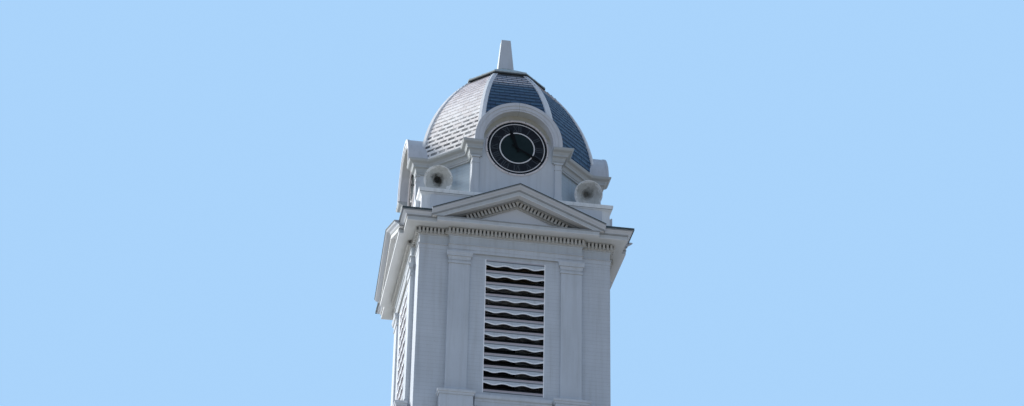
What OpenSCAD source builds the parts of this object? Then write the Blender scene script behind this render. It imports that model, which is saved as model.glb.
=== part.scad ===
// White timber clock tower: square louvred belfry, four clock dormers and a ribbed slate dome.
// Millimetres, +Z up, origin on the ground at the centre of the base, front face towards -Y.

/* [Shaft] */
// Width across the belfry walls
wall_w = 4500; // [4200:50:4800]
// Thickness of every outside wall
wall_t = 150; // [120:10:200]
// Width of the centre bay over its two pilasters
bay_w = 3120; // [3000:20:3240]
// How far the centre bay stands forward of the wall
bay_proj = 60; // [40:5:80]
// Width of a belfry pilaster
pilaster_w = 490; // [440:10:540]
// How far a pilaster stands forward of the bay
pilaster_proj = 45; // [30:5:60]
// Height of a pilaster's base
pilaster_base_h = 150; // [130:5:170]
// Height of a pilaster's capital
pilaster_capital_h = 208; // [190:2:230]

/* [Heights] */
// Height of the ground plinth
plinth_h = 450; // [350:50:550]
// Height of the plain base storey above the plinth
base_h = 2450; // [2200:50:2700]
// Height of the string course on the base storey
string_h = 200; // [150:10:250]
// Height of the pedestals, string course to cap
pedestal_h = 1300; // [1150:50:1450]
// Height of the belfry from pedestal cap to architrave
belfry_h = 3600; // [3400:50:3800]
// Height of the architrave
architrave_h = 200; // [160:10:240]
// Height of the frieze
frieze_h = 230; // [190:10:270]
// Height of the dentil course
dentil_course_h = 170; // [150:10:200]
// Height of the main cornice
cornice_h = 260; // [230:10:290]
// Height of the attic plinth above the cornice
attic_h = 804; // [720:4:900]
// Height of the clock stage walls up to the top of their entablature
stage_h = 1376; // [1300:4:1440]

/* [Base] */
// How far the ground plinth stands forward
plinth_proj = 120; // [80:10:160]
// How far the string course stands forward
string_proj = 90; // [60:10:120]
// Width of a pedestal cap
pedestal_w = 872; // [820:4:900]
// How far a pedestal cap stands forward of the wall
pedestal_proj = 350; // [300:10:400]
// Overhang of a pedestal cap beyond its die
pedestal_cap_over = 55; // [35:5:75]
// Height of a pedestal cap
pedestal_cap_h = 110; // [80:10:140]
// Height of the pedestal base block
pedestal_foot_h = 170; // [120:10:220]
// Thickness of the belfry floor and of the clock room floor
floor_t = 120; // [90:10:150]
// Height of the sill course
sill_h = 260; // [220:10:300]
// How far the sill course stands forward of the wall
sill_proj = 190; // [160:10:220]

/* [Louvres] */
// Clear width of the louvred opening
louvre_w = 1370; // [1300:10:1400]
// Width of the louvre frame's stiles, head and sill
frame_w = 60; // [40:5:70]
// Number of gaps between louvres in one opening
louvre_gaps = 11; // [9:1:12]
// Height of the opening's sill above the pedestal caps
louvre_sill = 170; // [150:10:200]
// Height of the opening's head above the pedestal caps
louvre_head = 3440; // [3380:10:3460]
// Share of the louvre pitch that its scalloped apron fills
apron_share = 0.49; // [0.42:0.01:0.55]
// Thickness of louvre boards
louvre_t = 22; // [18:1:28]
// Depth of a louvre board, front to back
louvre_depth = 180; // [160:5:185]
// Rise of a louvre board over its depth
louvre_rise = 160; // [140:5:180]
// Share of an apron's height that shows under the head
valance_share = 0.6; // [0.4:0.05:0.8]
// Joint left between boards and frame
joint_gap = 0.3; // [0.2:0.05:0.5]
// Half the height of the scallops on an apron
scallop = 11; // [6:1:16]

/* [Cornice] */
// Height of the corona under the crown moulding
corona_h = 120; // [105:5:135]
// Height of the fillet on top of the corona
corona_fillet = 22; // [16:2:28]
// How far the bed under the dentils stands forward
bed_proj = 45; // [35:1:55]
// How far the cornice crown stands forward of the wall
cornice_proj = 484; // [440:4:520]
// How far the corona soffit stands forward of the wall
soffit_proj = 350; // [320:5:370]
// Distance between dentils
dentil_pitch = 90; // [84:1:110]
// Width of a dentil
dentil_w = 52; // [44:1:58]
// Height of a dentil
dentil_h = 130; // [110:5:140]
// How far the dentils stand forward of the wall
dentil_proj = 105; // [95:5:125]
// Rise of the pediment's upper edge over its half width
pediment_rise = 858; // [800:2:900]
// Height of the raking cornice, square to its slope
rake_h = 232; // [210:2:250]

/* [Attic] */
// Overhang of the attic plinth's flared cap
attic_flare = 73; // [55:2:90]
// Height of the flared cap
attic_flare_h = 220; // [180:10:260]

/* [Clock stage] */
// Width of a clock dormer over its pilasters
dormer_w = 2160; // [2100:10:2220]
// Distance from the tower axis to a clock wall
clock_plane = 2225; // [2200:5:2245]
// Distance from the tower axis to a diagonal wall
drum_a = 2120; // [2090:5:2150]
// Width of a dormer pilaster
dormer_pilaster_w = 165; // [140:5:190]
// How far a dormer pilaster stands forward
dormer_pilaster_proj = 50; // [35:5:65]
// Thickness of the clock walls and the diagonal walls
stage_wall_t = 120; // [100:5:140]
// How far the cheeks of a clock dormer run back behind its wall
cheek_depth = 330; // [300:10:400]
// How far a hood's roof runs back under the slates
hood_tail = 270; // [230:10:300]
// Height of the entablature round the clock stage
stage_entab_h = 340; // [300:10:380]
// How far that entablature stands forward
stage_entab_proj = 264; // [230:2:290]
// Plain wall shown between the dial's frame ring and the hood's archivolt
hood_reveal = 73; // [63:1:83]
// Width of the hood's archivolt
hood_band = 215; // [195:5:225]
// Step from the archivolt's outer edge down to the hood's roof
hood_lap = 12; // [8:1:24]
// Height of the hood's centre above the stage entablature
hood_stilt = 60; // [40:5:80]
// Height of the dial centre above the attic plinth
dial_height = 1376; // [1350:2:1400]

/* [Dial] */
// Outer radius of the dial's frame ring
dial_frame_r = 772; // [760:2:790]
// Width of the dial's frame ring
dial_frame_w = 44; // [36:2:52]
// Width of the minute track, from the frame ring to the middle of the outer dial ring
minute_track_w = 66; // [58:2:74]
// Distance between the two dial rings, in which the numerals stand
numeral_band_w = 245; // [230:5:260]
// Width of the inner dial ring; the outer one is two thirds of it
dial_ring_w = 36; // [28:2:42]
// Clearance between the tip of a minute hand and the dial's frame ring
hand_tip_gap = 28; // [20:2:60]
// How far an hour hand reaches past the inner dial ring
hour_hand_reach = 83; // [50:1:110]
// Greatest width of a minute hand
minute_hand_w = 58; // [48:2:70]
// Greatest width of an hour hand
hour_hand_w = 100; // [84:2:112]
// Direction of the minute hands, clockwise from twelve
minute_angle = 120; // [0:1:359]
// Direction of the hour hands, clockwise from twelve
hour_angle = 340; // [0:1:359]
// Radius of the dial's centre arbor
arbor_r = 12; // [10:0.5:15]
// Running clearance of a hand on the arbor
arbor_gap = 0.05; // [0.03:0.01:0.1]
// Gap between the dial's rings and the hour hand
hand_gap = 9; // [6:0.5:12]
// Thickness of a dial plate
plate_t = 20; // [15:1:30]
// Thickness of the raised dial rings
ring_t = 10; // [6:1:14]
// Thickness of a hand's blade
hand_t = 6; // [4:0.5:8]
// Thickness of a hand's hub
hub_t = 10; // [8:0.5:12]

/* [Dome] */
// Radius of the dome's side profile
dome_r = 4200; // [4100:20:4300]
// Thickness of the dome's slated shell
dome_t = 110; // [90:5:140]
// Height of the slated dome above the stage entablature
dome_h = 2880; // [2800:10:2940]
// Width of a dome rib
rib_w = 160; // [130:5:190]
// How far a rib stands above the slates at the hip
rib_proj = 65; // [50:5:80]
// Height of the collar over the slates
collar_h = 140; // [110:5:170]
// Rise of the metal cap above the collar
cap_rise = 550; // [500:10:600]
// Height of the finial
finial_h = 945; // [880:5:1000]
// Width of the finial's foot
finial_w = 400; // [360:10:440]
// Width of the finial's top
finial_top_w = 235; // [200:5:260]

/* [Horns] */
// Diameter of a horn's mouth
horn_d = 670; // [600:10:700]
// Distance of a horn's axis from the tower's middle plane
horn_x = 1820; // [1740:10:1860]
// Height of a horn's throat above the attic
horn_z = 740; // [700:10:780]
// How far a horn tilts down towards the ground
horn_tilt = 30; // [20:2:36]
// Length of a horn, mouth to driver
horn_len = 430; // [380:10:480]
// Length of the driver behind a horn
driver_len = 130; // [100:5:150]

/* [Hidden] */
half = wall_w / 2;
bay = bay_w / 2;
bay_y = half + bay_proj;
pil_y = bay_y + pilaster_proj;
pil_x = bay - pilaster_w / 2;
break_proj = bay_proj + pilaster_proj;

z_base = plinth_h;
z_string = z_base + base_h;
z_ped = z_string + string_h;
z_cap = z_ped + pedestal_h;
z_arch = z_cap + belfry_h;
z_frieze = z_arch + architrave_h;
z_dentil = z_frieze + frieze_h;
z_cornice = z_dentil + dentil_course_h;
z_attic = z_cornice + cornice_h;
z_stage = z_attic + attic_h;
z_entab = z_stage + stage_h - stage_entab_h;
z_dome = z_stage + stage_h;
z_collar = z_dome + dome_h;
z_finial = z_collar + collar_h + cap_rise;
z_dial = z_stage + dial_height;
z_hood = z_dome + hood_stilt;

opening_x = louvre_w / 2 + frame_w;
opening_lo = z_cap + louvre_sill - frame_w;
opening_hi = z_cap + louvre_head + frame_w;
louvre_pitch = (louvre_head - louvre_sill) / (louvre_gaps - (1 - valance_share) * apron_share);
apron_h = louvre_pitch * apron_share;
apron_t = louvre_t * 0.8;
apron_setback = 20;

// Foot of the dentils above the foot of their course
dentil_lo = (dentil_course_h - dentil_h) * 0.6;

dormer = dormer_w / 2;
dial_r = dial_frame_r - dial_frame_w / 2;
outer_ring_r = dial_frame_r - dial_frame_w - minute_track_w;
inner_ring_r = outer_ring_r - numeral_band_w;
minute_hand_len = dial_frame_r - dial_frame_w - hand_tip_gap;
hour_hand_len = inner_ring_r + hour_hand_reach;
hood_inner_r = dial_frame_r + hood_reveal;
hood_r = hood_inner_r + hood_band;
hood_wall_r = hood_inner_r + hood_band * 0.35;
hood_front = clock_plane + stage_entab_proj;
hood_back = drum_a - hood_tail;
// Hands stack outwards on the arbor, 1 mm apart
hour_y = clock_plane + ring_t + hand_gap;
minute_y = hour_y + hub_t + 1;
arbor_end = minute_y + hub_t + 1;
// Foot of the dome profile lies over the drum wall
dome_z0 = z_dome - 40;
dome_x0 = drum_a + 8 - dome_r;

CORNERS = [0, 1, 2, 3];
tan_oct = tan(22.5);
reach = 4000;

// Colours as the photo shows them
white_paint = [0.80, 0.82, 0.83];
grey_paint = [0.66, 0.69, 0.71];
slate_blue = [0.20, 0.24, 0.30];
dial_black = [0.05, 0.06, 0.08];
ring_white = [0.85, 0.86, 0.88];
stone_grey = [0.60, 0.60, 0.58];

// Side 0 faces the front (-Y), 1 the right (+X), 2 the back and 3 the left
module on_side(i) {
    rotate([0, 0, 90 * i]) children();
}

module on_all_sides() {
    for (i = CORNERS) on_side(i) children();
}

// Keeps the front quarter of a square ring, cut to mitres that leave a fine joint
module mitred_length() {
    m = joint_gap / sqrt(2);
    intersection() {
        children();
        linear_extrude(height = 2 * reach + z_attic)
            polygon([[0, -m], [2 * reach, -2 * reach - m], [-2 * reach, -2 * reach - m]]);
    }
}

// Block with a moulded edge: profile is a list of [projection, height] from bottom to top
module moulded_block(hx, hy, profile) {
    n = len(profile);
    intersection() {
        rotate([90, 0, 90])
            linear_extrude(height = 2 * reach, center = true)
                polygon(concat([for (k = [0:n - 1]) [hy + profile[k][0], profile[k][1]]],
                    [for (k = [n - 1:-1:0]) [-hy - profile[k][0], profile[k][1]]]));
        rotate([90, 0, 0])
            linear_extrude(height = 2 * reach, center = true)
                polygon(concat([for (k = [0:n - 1]) [hx + profile[k][0], profile[k][1]]],
                    [for (k = [n - 1:-1:0]) [-hx - profile[k][0], profile[k][1]]]));
    }
}

// The same edge on a regular octagon of half width a
module moulded_octagon(a, profile) {
    n = len(profile);
    intersection_for (i = CORNERS)
        rotate([90, 0, 45 * i])
            linear_extrude(height = 2 * reach, center = true)
                polygon(concat([for (k = [0:n - 1]) [a + profile[k][0], profile[k][1]]],
                    [for (k = [n - 1:-1:0]) [-a - profile[k][0], profile[k][1]]]));
}

// Course round the tower in four mitred lengths; step is how far it breaks forward over a bay
module course(profile, step) {
    n = len(profile);
    low = profile[0][1];
    high = profile[n - 1][1];
    inner = half - wall_t;
    on_all_sides()
        mitred_length()
            difference() {
                union() {
                    moulded_block(half, half, profile);
                    if (step > 0) moulded_block(bay, half + step, profile);
                }
                translate([-inner, -inner, low - 1])
                    cube([2 * inner, 2 * inner, high - low + 2]);
            }
}

// Points of a cyma from [p0, z0] to [p1, z1], hollow below and round above
function cyma(p0, z0, p1, z1, steps = 8) =
    [for (k = [0:steps]) let (t = k / steps)
        [p0 + (p1 - p0) * (t - sin(360 * t) / 14), z0 + (z1 - z0) * (t + sin(360 * t) / 14)]];

// Points of a hollow quarter curve from [p0, z0] out to [p1, z1]
function cavetto(p0, z0, p1, z1, steps = 7) =
    [for (k = [0:steps]) let (t = 90 * k / steps)
        [p0 + (p1 - p0) * (1 - cos(t)), z0 + (z1 - z0) * sin(t)]];

// Plan of one wall with its centre bay, mitred at the corners
module wall_plan() {
    m = joint_gap / sqrt(2);
    polygon([[m - half, -half], [-bay, -half], [-bay, -bay_y], [bay, -bay_y], [bay, -half],
        [half - m, -half], [half - wall_t - m, wall_t - half], [wall_t + m - half, wall_t - half]]);
}

module ground_plinth() {
    chamfer = plinth_proj / 2;
    color(stone_grey)
        course([[plinth_proj, 0], [plinth_proj, plinth_h - chamfer], [0, plinth_h]], bay_proj);
}

module base_walls() {
    color(white_paint)
        on_all_sides()
            translate([0, 0, z_base])
                linear_extrude(height = base_h) wall_plan();
}

module string_course() {
    profile = concat([[12, z_string], [12, z_string + string_h * 0.35]],
        cyma(20, z_string + string_h * 0.4, string_proj, z_ped - 45),
        [[string_proj, z_ped]]);
    color(white_paint) course(profile, bay_proj);
}

// Pedestal under one pilaster, standing against the bay
module pedestal() {
    die = pedestal_w / 2 - pedestal_cap_over;
    front = half + pedestal_proj - pedestal_cap_over;
    cap_z = z_cap - pedestal_cap_h;
    foot_z = z_ped + pedestal_foot_h;
    profile = concat([[30, z_ped], [30, foot_z - 40], [0, foot_z]],
        [[0, cap_z], [15, cap_z], [15, cap_z + 12]],
        cyma(20, cap_z + 18, pedestal_cap_over, z_cap - 28),
        [[pedestal_cap_over, z_cap]]);
    translate([pil_x, 0, 0])
        difference() {
            moulded_block(die, front, profile);
            translate([-reach, -bay_y, z_ped - 1])
                cube([2 * reach, 2 * reach, pedestal_h + 2]);
        }
}

module pedestals() {
    color(white_paint)
        on_all_sides() {
            pedestal();
            mirror([1, 0, 0]) pedestal();
        }
}

module sill_courses() {
    side = pil_x - pedestal_w / 2;
    out = sill_proj - bay_proj;
    profile = concat([[out * 0.45, z_cap - sill_h], [out * 0.45, z_cap - sill_h * 0.58]],
        cyma(out * 0.54, z_cap - sill_h * 0.54, out, z_cap - sill_h * 0.15),
        [[out, z_cap]]);
    color(white_paint)
        on_all_sides()
            intersection() {
                difference() {
                    moulded_block(bay, bay_y, profile);
                    translate([-reach, -bay_y, z_ped])
                        cube([2 * reach, 2 * reach, 2 * pedestal_h]);
                }
                translate([-side, -reach, z_ped])
                    cube([2 * side, reach, 2 * pedestal_h]);
            }
}

module belfry_wall(i) {
    color(white_paint)
        on_side(i)
            difference() {
                translate([0, 0, z_ped])
                    linear_extrude(height = z_arch - z_ped) wall_plan();
                translate([-opening_x, -reach, opening_lo])
                    cube([2 * opening_x, reach, opening_hi - opening_lo]);
            }
}

// Belfry pilaster with its base and capital
module belfry_pilaster() {
    base = pilaster_base_h;
    cap = pilaster_capital_h;
    w = pilaster_w / 2;
    p0 = z_cap;
    neck = z_arch - cap;
    astragal = neck - cap * 0.48;
    profile = concat([[28, p0], [28, p0 + base * 0.47], [12, p0 + base * 0.6], [24, p0 + base * 0.73],
        [10, p0 + base * 0.87], [0, p0 + base]],
        [[0, astragal], [20, astragal + cap * 0.05], [20, astragal + cap * 0.29], [0, astragal + cap * 0.36]],
        [[0, neck]],
        cavetto(10, neck, 42, neck + cap * 0.42),
        [[48, neck + cap * 0.43], [48, neck + cap * 0.57]],
        cyma(50, neck + cap * 0.58, 64, neck + cap * 0.81, 6),
        [[66, neck + cap * 0.82], [66, z_arch]]);
    translate([pil_x, 0, 0])
        difference() {
            moulded_block(w, pil_y, profile);
            translate([-reach, -bay_y, p0 - 1])
                cube([2 * reach, 2 * reach, belfry_h + 2]);
        }
}

module belfry_pilasters() {
    color(white_paint)
        on_all_sides() {
            belfry_pilaster();
            mirror([1, 0, 0]) belfry_pilaster();
        }
}

// Frame round one louvred opening: two stiles, a head and a sill
module louvre_frame() {
    deep = wall_t + bay_proj;
    w = louvre_w / 2;
    top = opening_hi - frame_w;
    for (s = [-1, 1])
        translate([s * (w + frame_w / 2) - frame_w / 2, -bay_y, opening_lo])
            cube([frame_w, deep, opening_hi - opening_lo]);
    translate([-w + joint_gap, -bay_y, top])
        cube([2 * (w - joint_gap), deep, frame_w]);
    translate([-w + joint_gap, -bay_y, opening_lo])
        cube([2 * (w - joint_gap), deep, frame_w - joint_gap]);
}

// Scalloped board of height h that hangs down from z = 0: three lobes along the lower edge
module apron(h) {
    n = 36;
    w = louvre_w - 2 * joint_gap;
    translate([0, -bay_y + apron_setback, 0])
        rotate([90, 0, 0])
            linear_extrude(height = apron_t)
                polygon(concat([for (k = [0:n]) [-w / 2 + w * k / n, scallop * cos(1080 * k / n) - h]],
                    [[w / 2, 0], [-w / 2, 0]]));
}

// Sloping board whose nose tops out at z = 0 and which rises inwards
module louvre_board() {
    nose = 8;
    y0 = -bay_y + apron_setback - apron_t - nose;
    y1 = -bay_y + apron_setback;
    y2 = y1 + louvre_depth;
    rotate([90, 0, 90])
        linear_extrude(height = louvre_w - 2 * joint_gap, center = true)
            polygon([[y0, -louvre_t], [y1, -louvre_t], [y2, louvre_rise - louvre_t],
                [y2, louvre_rise], [y1, 0], [y0, 0]]);
}

module louvres(i) {
    z0 = z_cap + louvre_sill;
    color(grey_paint)
        on_side(i) {
            louvre_frame();
            for (k = [0:louvre_gaps - 1])
                translate([0, 0, z0 + k * louvre_pitch + louvre_t]) {
                    louvre_board();
                    if (k > 0)
                        translate([0, 0, -louvre_t - joint_gap]) apron(apron_h - louvre_t - joint_gap);
                }
            // Scalloped valance under the head
            translate([0, 0, z_cap + louvre_head - joint_gap]) apron(apron_h * valance_share);
        }
}

module belfry_floor() {
    inner = half - wall_t;
    color("peru")
        translate([-inner, -inner, z_cap - floor_t])
            cube([2 * inner, 2 * inner, floor_t]);
}

module architrave() {
    h = architrave_h;
    profile = concat([[4, z_arch], [4, z_arch + h * 0.38], [12, z_arch + h * 0.38],
        [12, z_arch + h * 0.78]],
        cavetto(14, z_arch + h * 0.78, 36, z_arch + h * 0.92, 5),
        [[40, z_arch + h * 0.92], [40, z_frieze]]);
    color(white_paint) course(profile, break_proj);
}

module frieze() {
    profile = concat([[0, z_frieze], [0, z_dentil - 45]],
        cavetto(4, z_dentil - 45, 28, z_dentil - 10, 4),
        [[30, z_dentil - 10], [30, z_dentil]]);
    color(white_paint) course(profile, break_proj);
}

// Comb of dentils from x = 0 to x = l, with a tooth flush at each end
module dentil_comb(l, depth) {
    count = floor((l + dentil_pitch - dentil_w) / dentil_pitch);
    for (k = [0:count - 1])
        translate([k * (l - dentil_w) / (count - 1), -depth])
            square([dentil_w, depth]);
}

// Plan of the teeth on one side, over the bay and over the wall beside it
module dentil_plan() {
    lap = 10;
    tooth = dentil_proj - bed_proj + lap;
    face = half + bed_proj - lap;
    start = bay + dentil_proj + dentil_pitch - dentil_w;
    translate([-bay - bed_proj, -face - break_proj]) dentil_comb(2 * (bay + bed_proj), tooth);
    for (s = [0, 1])
        mirror([s, 0]) {
            translate([start, -face]) dentil_comb(half + bed_proj - start, tooth);
            // Tooth on the return of the bay
            translate([bay + bed_proj - lap, -half - bed_proj - (break_proj + dentil_w) / 2])
                square([tooth, dentil_w]);
        }
}

module dentil_course() {
    color(white_paint) {
        course([[bed_proj, z_dentil], [bed_proj, z_cornice]], break_proj);
        on_all_sides()
            mitred_length()
                translate([0, 0, z_dentil + dentil_lo])
                    linear_extrude(height = dentil_h) dentil_plan();
    }
}

// Corona and crown of the cornice, as [projection, height] from their foot upwards
function corona_profile(z) = [[soffit_proj, z], [soffit_proj, z + corona_h - corona_fillet],
    [soffit_proj + 14, z + corona_h - corona_fillet], [soffit_proj + 14, z + corona_h]];
function crown_profile(z0, z1) = concat(
    cyma(soffit_proj + 18, z0, cornice_proj - 8, z1 - 26),
    [[cornice_proj, z1 - 24], [cornice_proj, z1]]);

module main_cornice() {
    full = concat(corona_profile(z_cornice), crown_profile(z_cornice + corona_h + 4, z_attic));
    inner = half - wall_t;
    color(white_paint)
        on_all_sides()
            mitred_length()
                difference() {
                    union() {
                        moulded_block(half, half, full);
                        moulded_block(bay, half + break_proj, corona_profile(z_cornice));
                    }
                    translate([-inner, -inner, z_cornice - 1])
                        cube([2 * inner, 2 * inner, cornice_h + 2]);
                    // The crown stops where the pediment stands
                    translate([-bay - cornice_proj, -reach, z_cornice + corona_h])
                        cube([2 * (bay + cornice_proj), reach - half, cornice_h]);
                }
}

// Edge of the attic plinth, as [projection, height]: upright below, with a flared cap
function attic_profile() = concat([[0, z_attic], [0, z_stage - attic_flare_h]],
    cyma(0, z_stage - attic_flare_h, attic_flare, z_stage - 40), [[attic_flare, z_stage]]);

// Right half of a pediment: tympanum, raking bed with its dentils, corona and crown
module half_pediment() {
    foot = z_cornice + corona_h;
    run = bay + cornice_proj;
    slope = atan(pediment_rise / run);
    drop = rake_h / cos(slope);
    apex = z_attic + pediment_rise;
    wall_y = half + break_proj;
    profile = concat([[-break_proj, 0], [0, 0]], corona_profile(0),
        crown_profile(corona_h + 4, rake_h), [[-break_proj, rake_h]]);
    bed = [[-break_proj, -dentil_course_h], [bed_proj, -dentil_course_h], [bed_proj, 0], [-break_proj, 0]];
    teeth = floor((apex - drop - dentil_course_h / cos(slope) - foot) / sin(slope) / dentil_pitch);
    intersection() {
        union() {
            translate([0, -wall_y, foot])
                cube([run, break_proj, apex - drop - foot]);
            translate([0, 0, apex])
                rotate([0, slope, 0])
                    translate([0, 0, -rake_h]) {
                        for (shape = [profile, bed])
                            rotate([90, 0, 90])
                                linear_extrude(height = 3 * run, center = true)
                                    polygon([for (q = shape) [-wall_y - q[0], q[1]]]);
                        for (k = [0:teeth - 1])
                            translate([(k + 0.5) * dentil_pitch - dentil_w / 2, -wall_y - dentil_proj,
                                dentil_lo - dentil_course_h])
                                cube([dentil_w, dentil_proj, dentil_h]);
                    }
        }
        // Keeps the right half over the corona
        translate([0, -half - reach, foot])
            cube([run, reach, pediment_rise + cornice_h]);
    }
}

// Both halves, cut square behind the apex for the flare of the attic plinth
module pediment() {
    flare = half + attic_flare;
    color(white_paint)
        difference() {
            union() {
                half_pediment();
                mirror([1, 0, 0]) half_pediment();
            }
            translate([-flare, -flare, z_stage - attic_flare_h])
                cube([2 * flare, flare, pediment_rise]);
        }
}

module pediments() {
    on_all_sides() pediment();
}

module attic_plinth() {
    color(white_paint) course(attic_profile(), 0);
}

module clock_room_floor() {
    inner = half - wall_t;
    color("peru")
        translate([-inner, -inner, z_stage - floor_t])
            cube([2 * inner, 2 * inner, floor_t]);
}

// Outline of a clock wall: straight sides and a round top under the hood
module clock_wall_outline(r) {
    union() {
        translate([-r, z_stage]) square([2 * r, z_hood - z_stage]);
        intersection() {
            translate([0, z_hood]) circle(r = r, $fn = 96);
            translate([-r, z_stage]) square([2 * r, z_hood - z_stage + r]);
        }
    }
}

module clock_wall(i) {
    t = stage_wall_t;
    z_mid = z_entab - 40;
    astragal = z_entab - 190;
    p = dormer_pilaster_proj;
    color(white_paint)
        on_side(i)
            difference() {
                union() {
                    translate([0, -clock_plane + t, 0])
                        rotate([90, 0, 0])
                            linear_extrude(height = t) clock_wall_outline(hood_wall_r);
                    // Corner posts, cheeks and pilasters
                    for (s = [-1, 1])
                        translate([s * (dormer - dormer_pilaster_w / 2), 0, 0]) {
                            translate([-dormer_pilaster_w / 2, -clock_plane - p, z_stage])
                                cube([dormer_pilaster_w, t + p + cheek_depth, z_entab - z_stage]);
                            translate([-dormer_pilaster_w / 2 - 14, -clock_plane - p - 14, z_stage])
                                cube([dormer_pilaster_w + 28, t, 110]);
                            translate([-dormer_pilaster_w / 2 - 10, -clock_plane - p - 10, astragal])
                                cube([dormer_pilaster_w + 20, t, 30]);
                            translate([-dormer_pilaster_w / 2 - 22, -clock_plane - p - 22, z_mid])
                                cube([dormer_pilaster_w + 44, t, 40]);
                        }
                }
                translate([0, 0, z_dial])
                    rotate([90, 0, 0])
                        cylinder(r = dial_r + 0.3, h = reach, $fn = 96);
                moulded_octagon(drum_a, [[0, z_stage - 1], [0, z_dome]]);
            }
}

module drum_walls() {
    t = stage_wall_t;
    color(white_paint)
        for (i = CORNERS)
            intersection() {
                difference() {
                    moulded_octagon(drum_a, [[0, z_stage], [0, z_entab]]);
                    moulded_octagon(drum_a - t, [[0, z_stage - 1], [0, z_entab + 1]]);
                }
                rotate([0, 0, 90 * i])
                    linear_extrude(height = 2 * z_entab)
                        polygon([[0, 0], [reach * tan_oct, -reach], [reach, -reach], [reach, -reach * tan_oct]]);
            }
}

// Entablature round the clock stage, open in front of each dial
module stage_entablature() {
    h = stage_entab_h;
    p0 = dormer_pilaster_proj;
    pr = stage_entab_proj;
    z0 = z_entab;
    profile = concat([[p0, z0], [p0, z0 + h * 0.14], [p0 + 14, z0 + h * 0.14], [p0 + 14, z0 + h * 0.24]],
        cavetto(p0 + 20, z0 + h * 0.26, p0 + 70, z0 + h * 0.44, 5),
        [[p0 + 90, z0 + h * 0.46], [p0 + 90, z0 + h * 0.62]],
        cyma(p0 + 98, z0 + h * 0.64, pr - 6, z0 + h * 0.92),
        [[pr, z0 + h * 0.93], [pr, z0 + h]]);
    t = stage_wall_t;
    gap = hood_inner_r;
    color(white_paint)
        difference() {
            union() {
                moulded_octagon(drum_a, profile);
                moulded_block(dormer, clock_plane, profile);
                moulded_block(clock_plane, dormer, profile);
            }
            moulded_octagon(drum_a - t, [[0, z0 - 1], [0, z_dome + 1]]);
            on_all_sides()
                translate([-gap, -reach, z0 - 1])
                    cube([2 * gap, reach, h + 2]);
            on_all_sides()
                translate([0, -clock_plane + t, 0])
                    rotate([90, 0, 0])
                        linear_extrude(height = t) clock_wall_outline(hood_wall_r);
        }
}

// Section of a hood: [radius, distance from the tower axis]
function hood_section() = [
    [hood_inner_r, hood_front - 34], [hood_inner_r + 48, hood_front - 34],
    [hood_inner_r + 48, hood_front - 18], [hood_inner_r + 130, hood_front - 18],
    [hood_inner_r + 136, hood_front], [hood_r, hood_front],
    [hood_r, hood_front - 50], [hood_r - hood_lap / 2, hood_front - 60], [hood_r - hood_lap, hood_front - 80],
    [hood_r - hood_lap, hood_back], [hood_wall_r, hood_back],
    [hood_wall_r, clock_plane], [hood_inner_r, clock_plane]];

module hood() {
    translate([0, 0, z_hood])
        rotate([90, 0, 0])
            rotate_extrude(angle = 180, $fn = 96) polygon(hood_section());
    for (s = [0, 1])
        mirror([s, 0, 0])
            translate([0, 0, z_dome])
                linear_extrude(height = hood_stilt)
                    polygon([for (q = hood_section()) [q[0], -q[1]]]);
}

module dormer_hoods() {
    color(white_paint)
        on_all_sides() hood();
}

// Disc or ring on the dial axis, from y0 to y1 in front of the tower axis
module dial_disc(r, y0, y1, r_in = 0) {
    translate([0, -y0, z_dial])
        rotate([90, 0, 0])
            difference() {
                cylinder(r = r, h = y1 - y0, $fn = 96);
                if (r_in > 0)
                    translate([0, 0, -1]) cylinder(r = r_in, h = y1 - y0 + 2, $fn = 96);
            }
}

module dial_plates() {
    color(dial_black)
        on_all_sides() dial_disc(dial_r, clock_plane - plate_t, clock_plane);
}

// Arbor that carries the hands: boss, shaft and nut
module dial_arbors() {
    nut_t = 8;
    color(dial_black)
        on_all_sides()
            union() {
                dial_disc(arbor_r * 2, clock_plane, hour_y - joint_gap);
                dial_disc(arbor_r, clock_plane, arbor_end);
                dial_disc(arbor_r * 1.7, arbor_end, arbor_end + nut_t);
            }
}

module dial_frames() {
    y = clock_plane;
    r1 = dial_frame_r;
    r0 = dial_frame_r - dial_frame_w;
    color(white_paint)
        on_all_sides()
            translate([0, 0, z_dial])
                rotate([90, 0, 0])
                    rotate_extrude($fn = 96)
                        polygon([[r0, y], [r1, y], [r1, y + 14], [r1 - 8, y + 26], [r1 - 20, y + 34],
                            [r0 + 8, y + 34], [r0, y + 26]]);
}

module dial_rings() {
    color(ring_white)
        on_all_sides() {
            dial_disc(outer_ring_r + dial_ring_w / 3, clock_plane, clock_plane + ring_t,
                outer_ring_r - dial_ring_w / 3);
            dial_disc(inner_ring_r + dial_ring_w / 2, clock_plane, clock_plane + ring_t,
                inner_ring_r - dial_ring_w / 2);
        }
}

// Clock hand pointing up: tapered blade, tail and hub
module hand(len_, w, y) {
    tail = len_ * 0.22;
    translate([0, -y, z_dial])
        rotate([90, 0, 0])
            difference() {
                union() {
                    translate([0, 0, (hub_t - hand_t) / 2])
                        linear_extrude(height = hand_t)
                            polygon([[-w * 0.32, -tail], [w * 0.32, -tail], [w * 0.22, 0],
                                [w * 0.5, len_ * 0.72], [w * 0.14, len_], [-w * 0.14, len_],
                                [-w * 0.5, len_ * 0.72], [-w * 0.22, 0]]);
                    cylinder(r = arbor_r * 2.6, h = hub_t, $fn = 48);
                }
                translate([0, 0, -1])
                    cylinder(r = arbor_r + arbor_gap, h = hub_t + 2, $fn = 48);
            }
}

// Turns a hand clockwise about the dial centre, seen from outside
module at_angle(a) {
    translate([0, 0, z_dial]) rotate([0, a, 0]) translate([0, 0, -z_dial]) children();
}

module minute_hand(i) {
    color(dial_black) on_side(i) at_angle(minute_angle) hand(minute_hand_len, minute_hand_w, minute_y);
}

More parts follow.
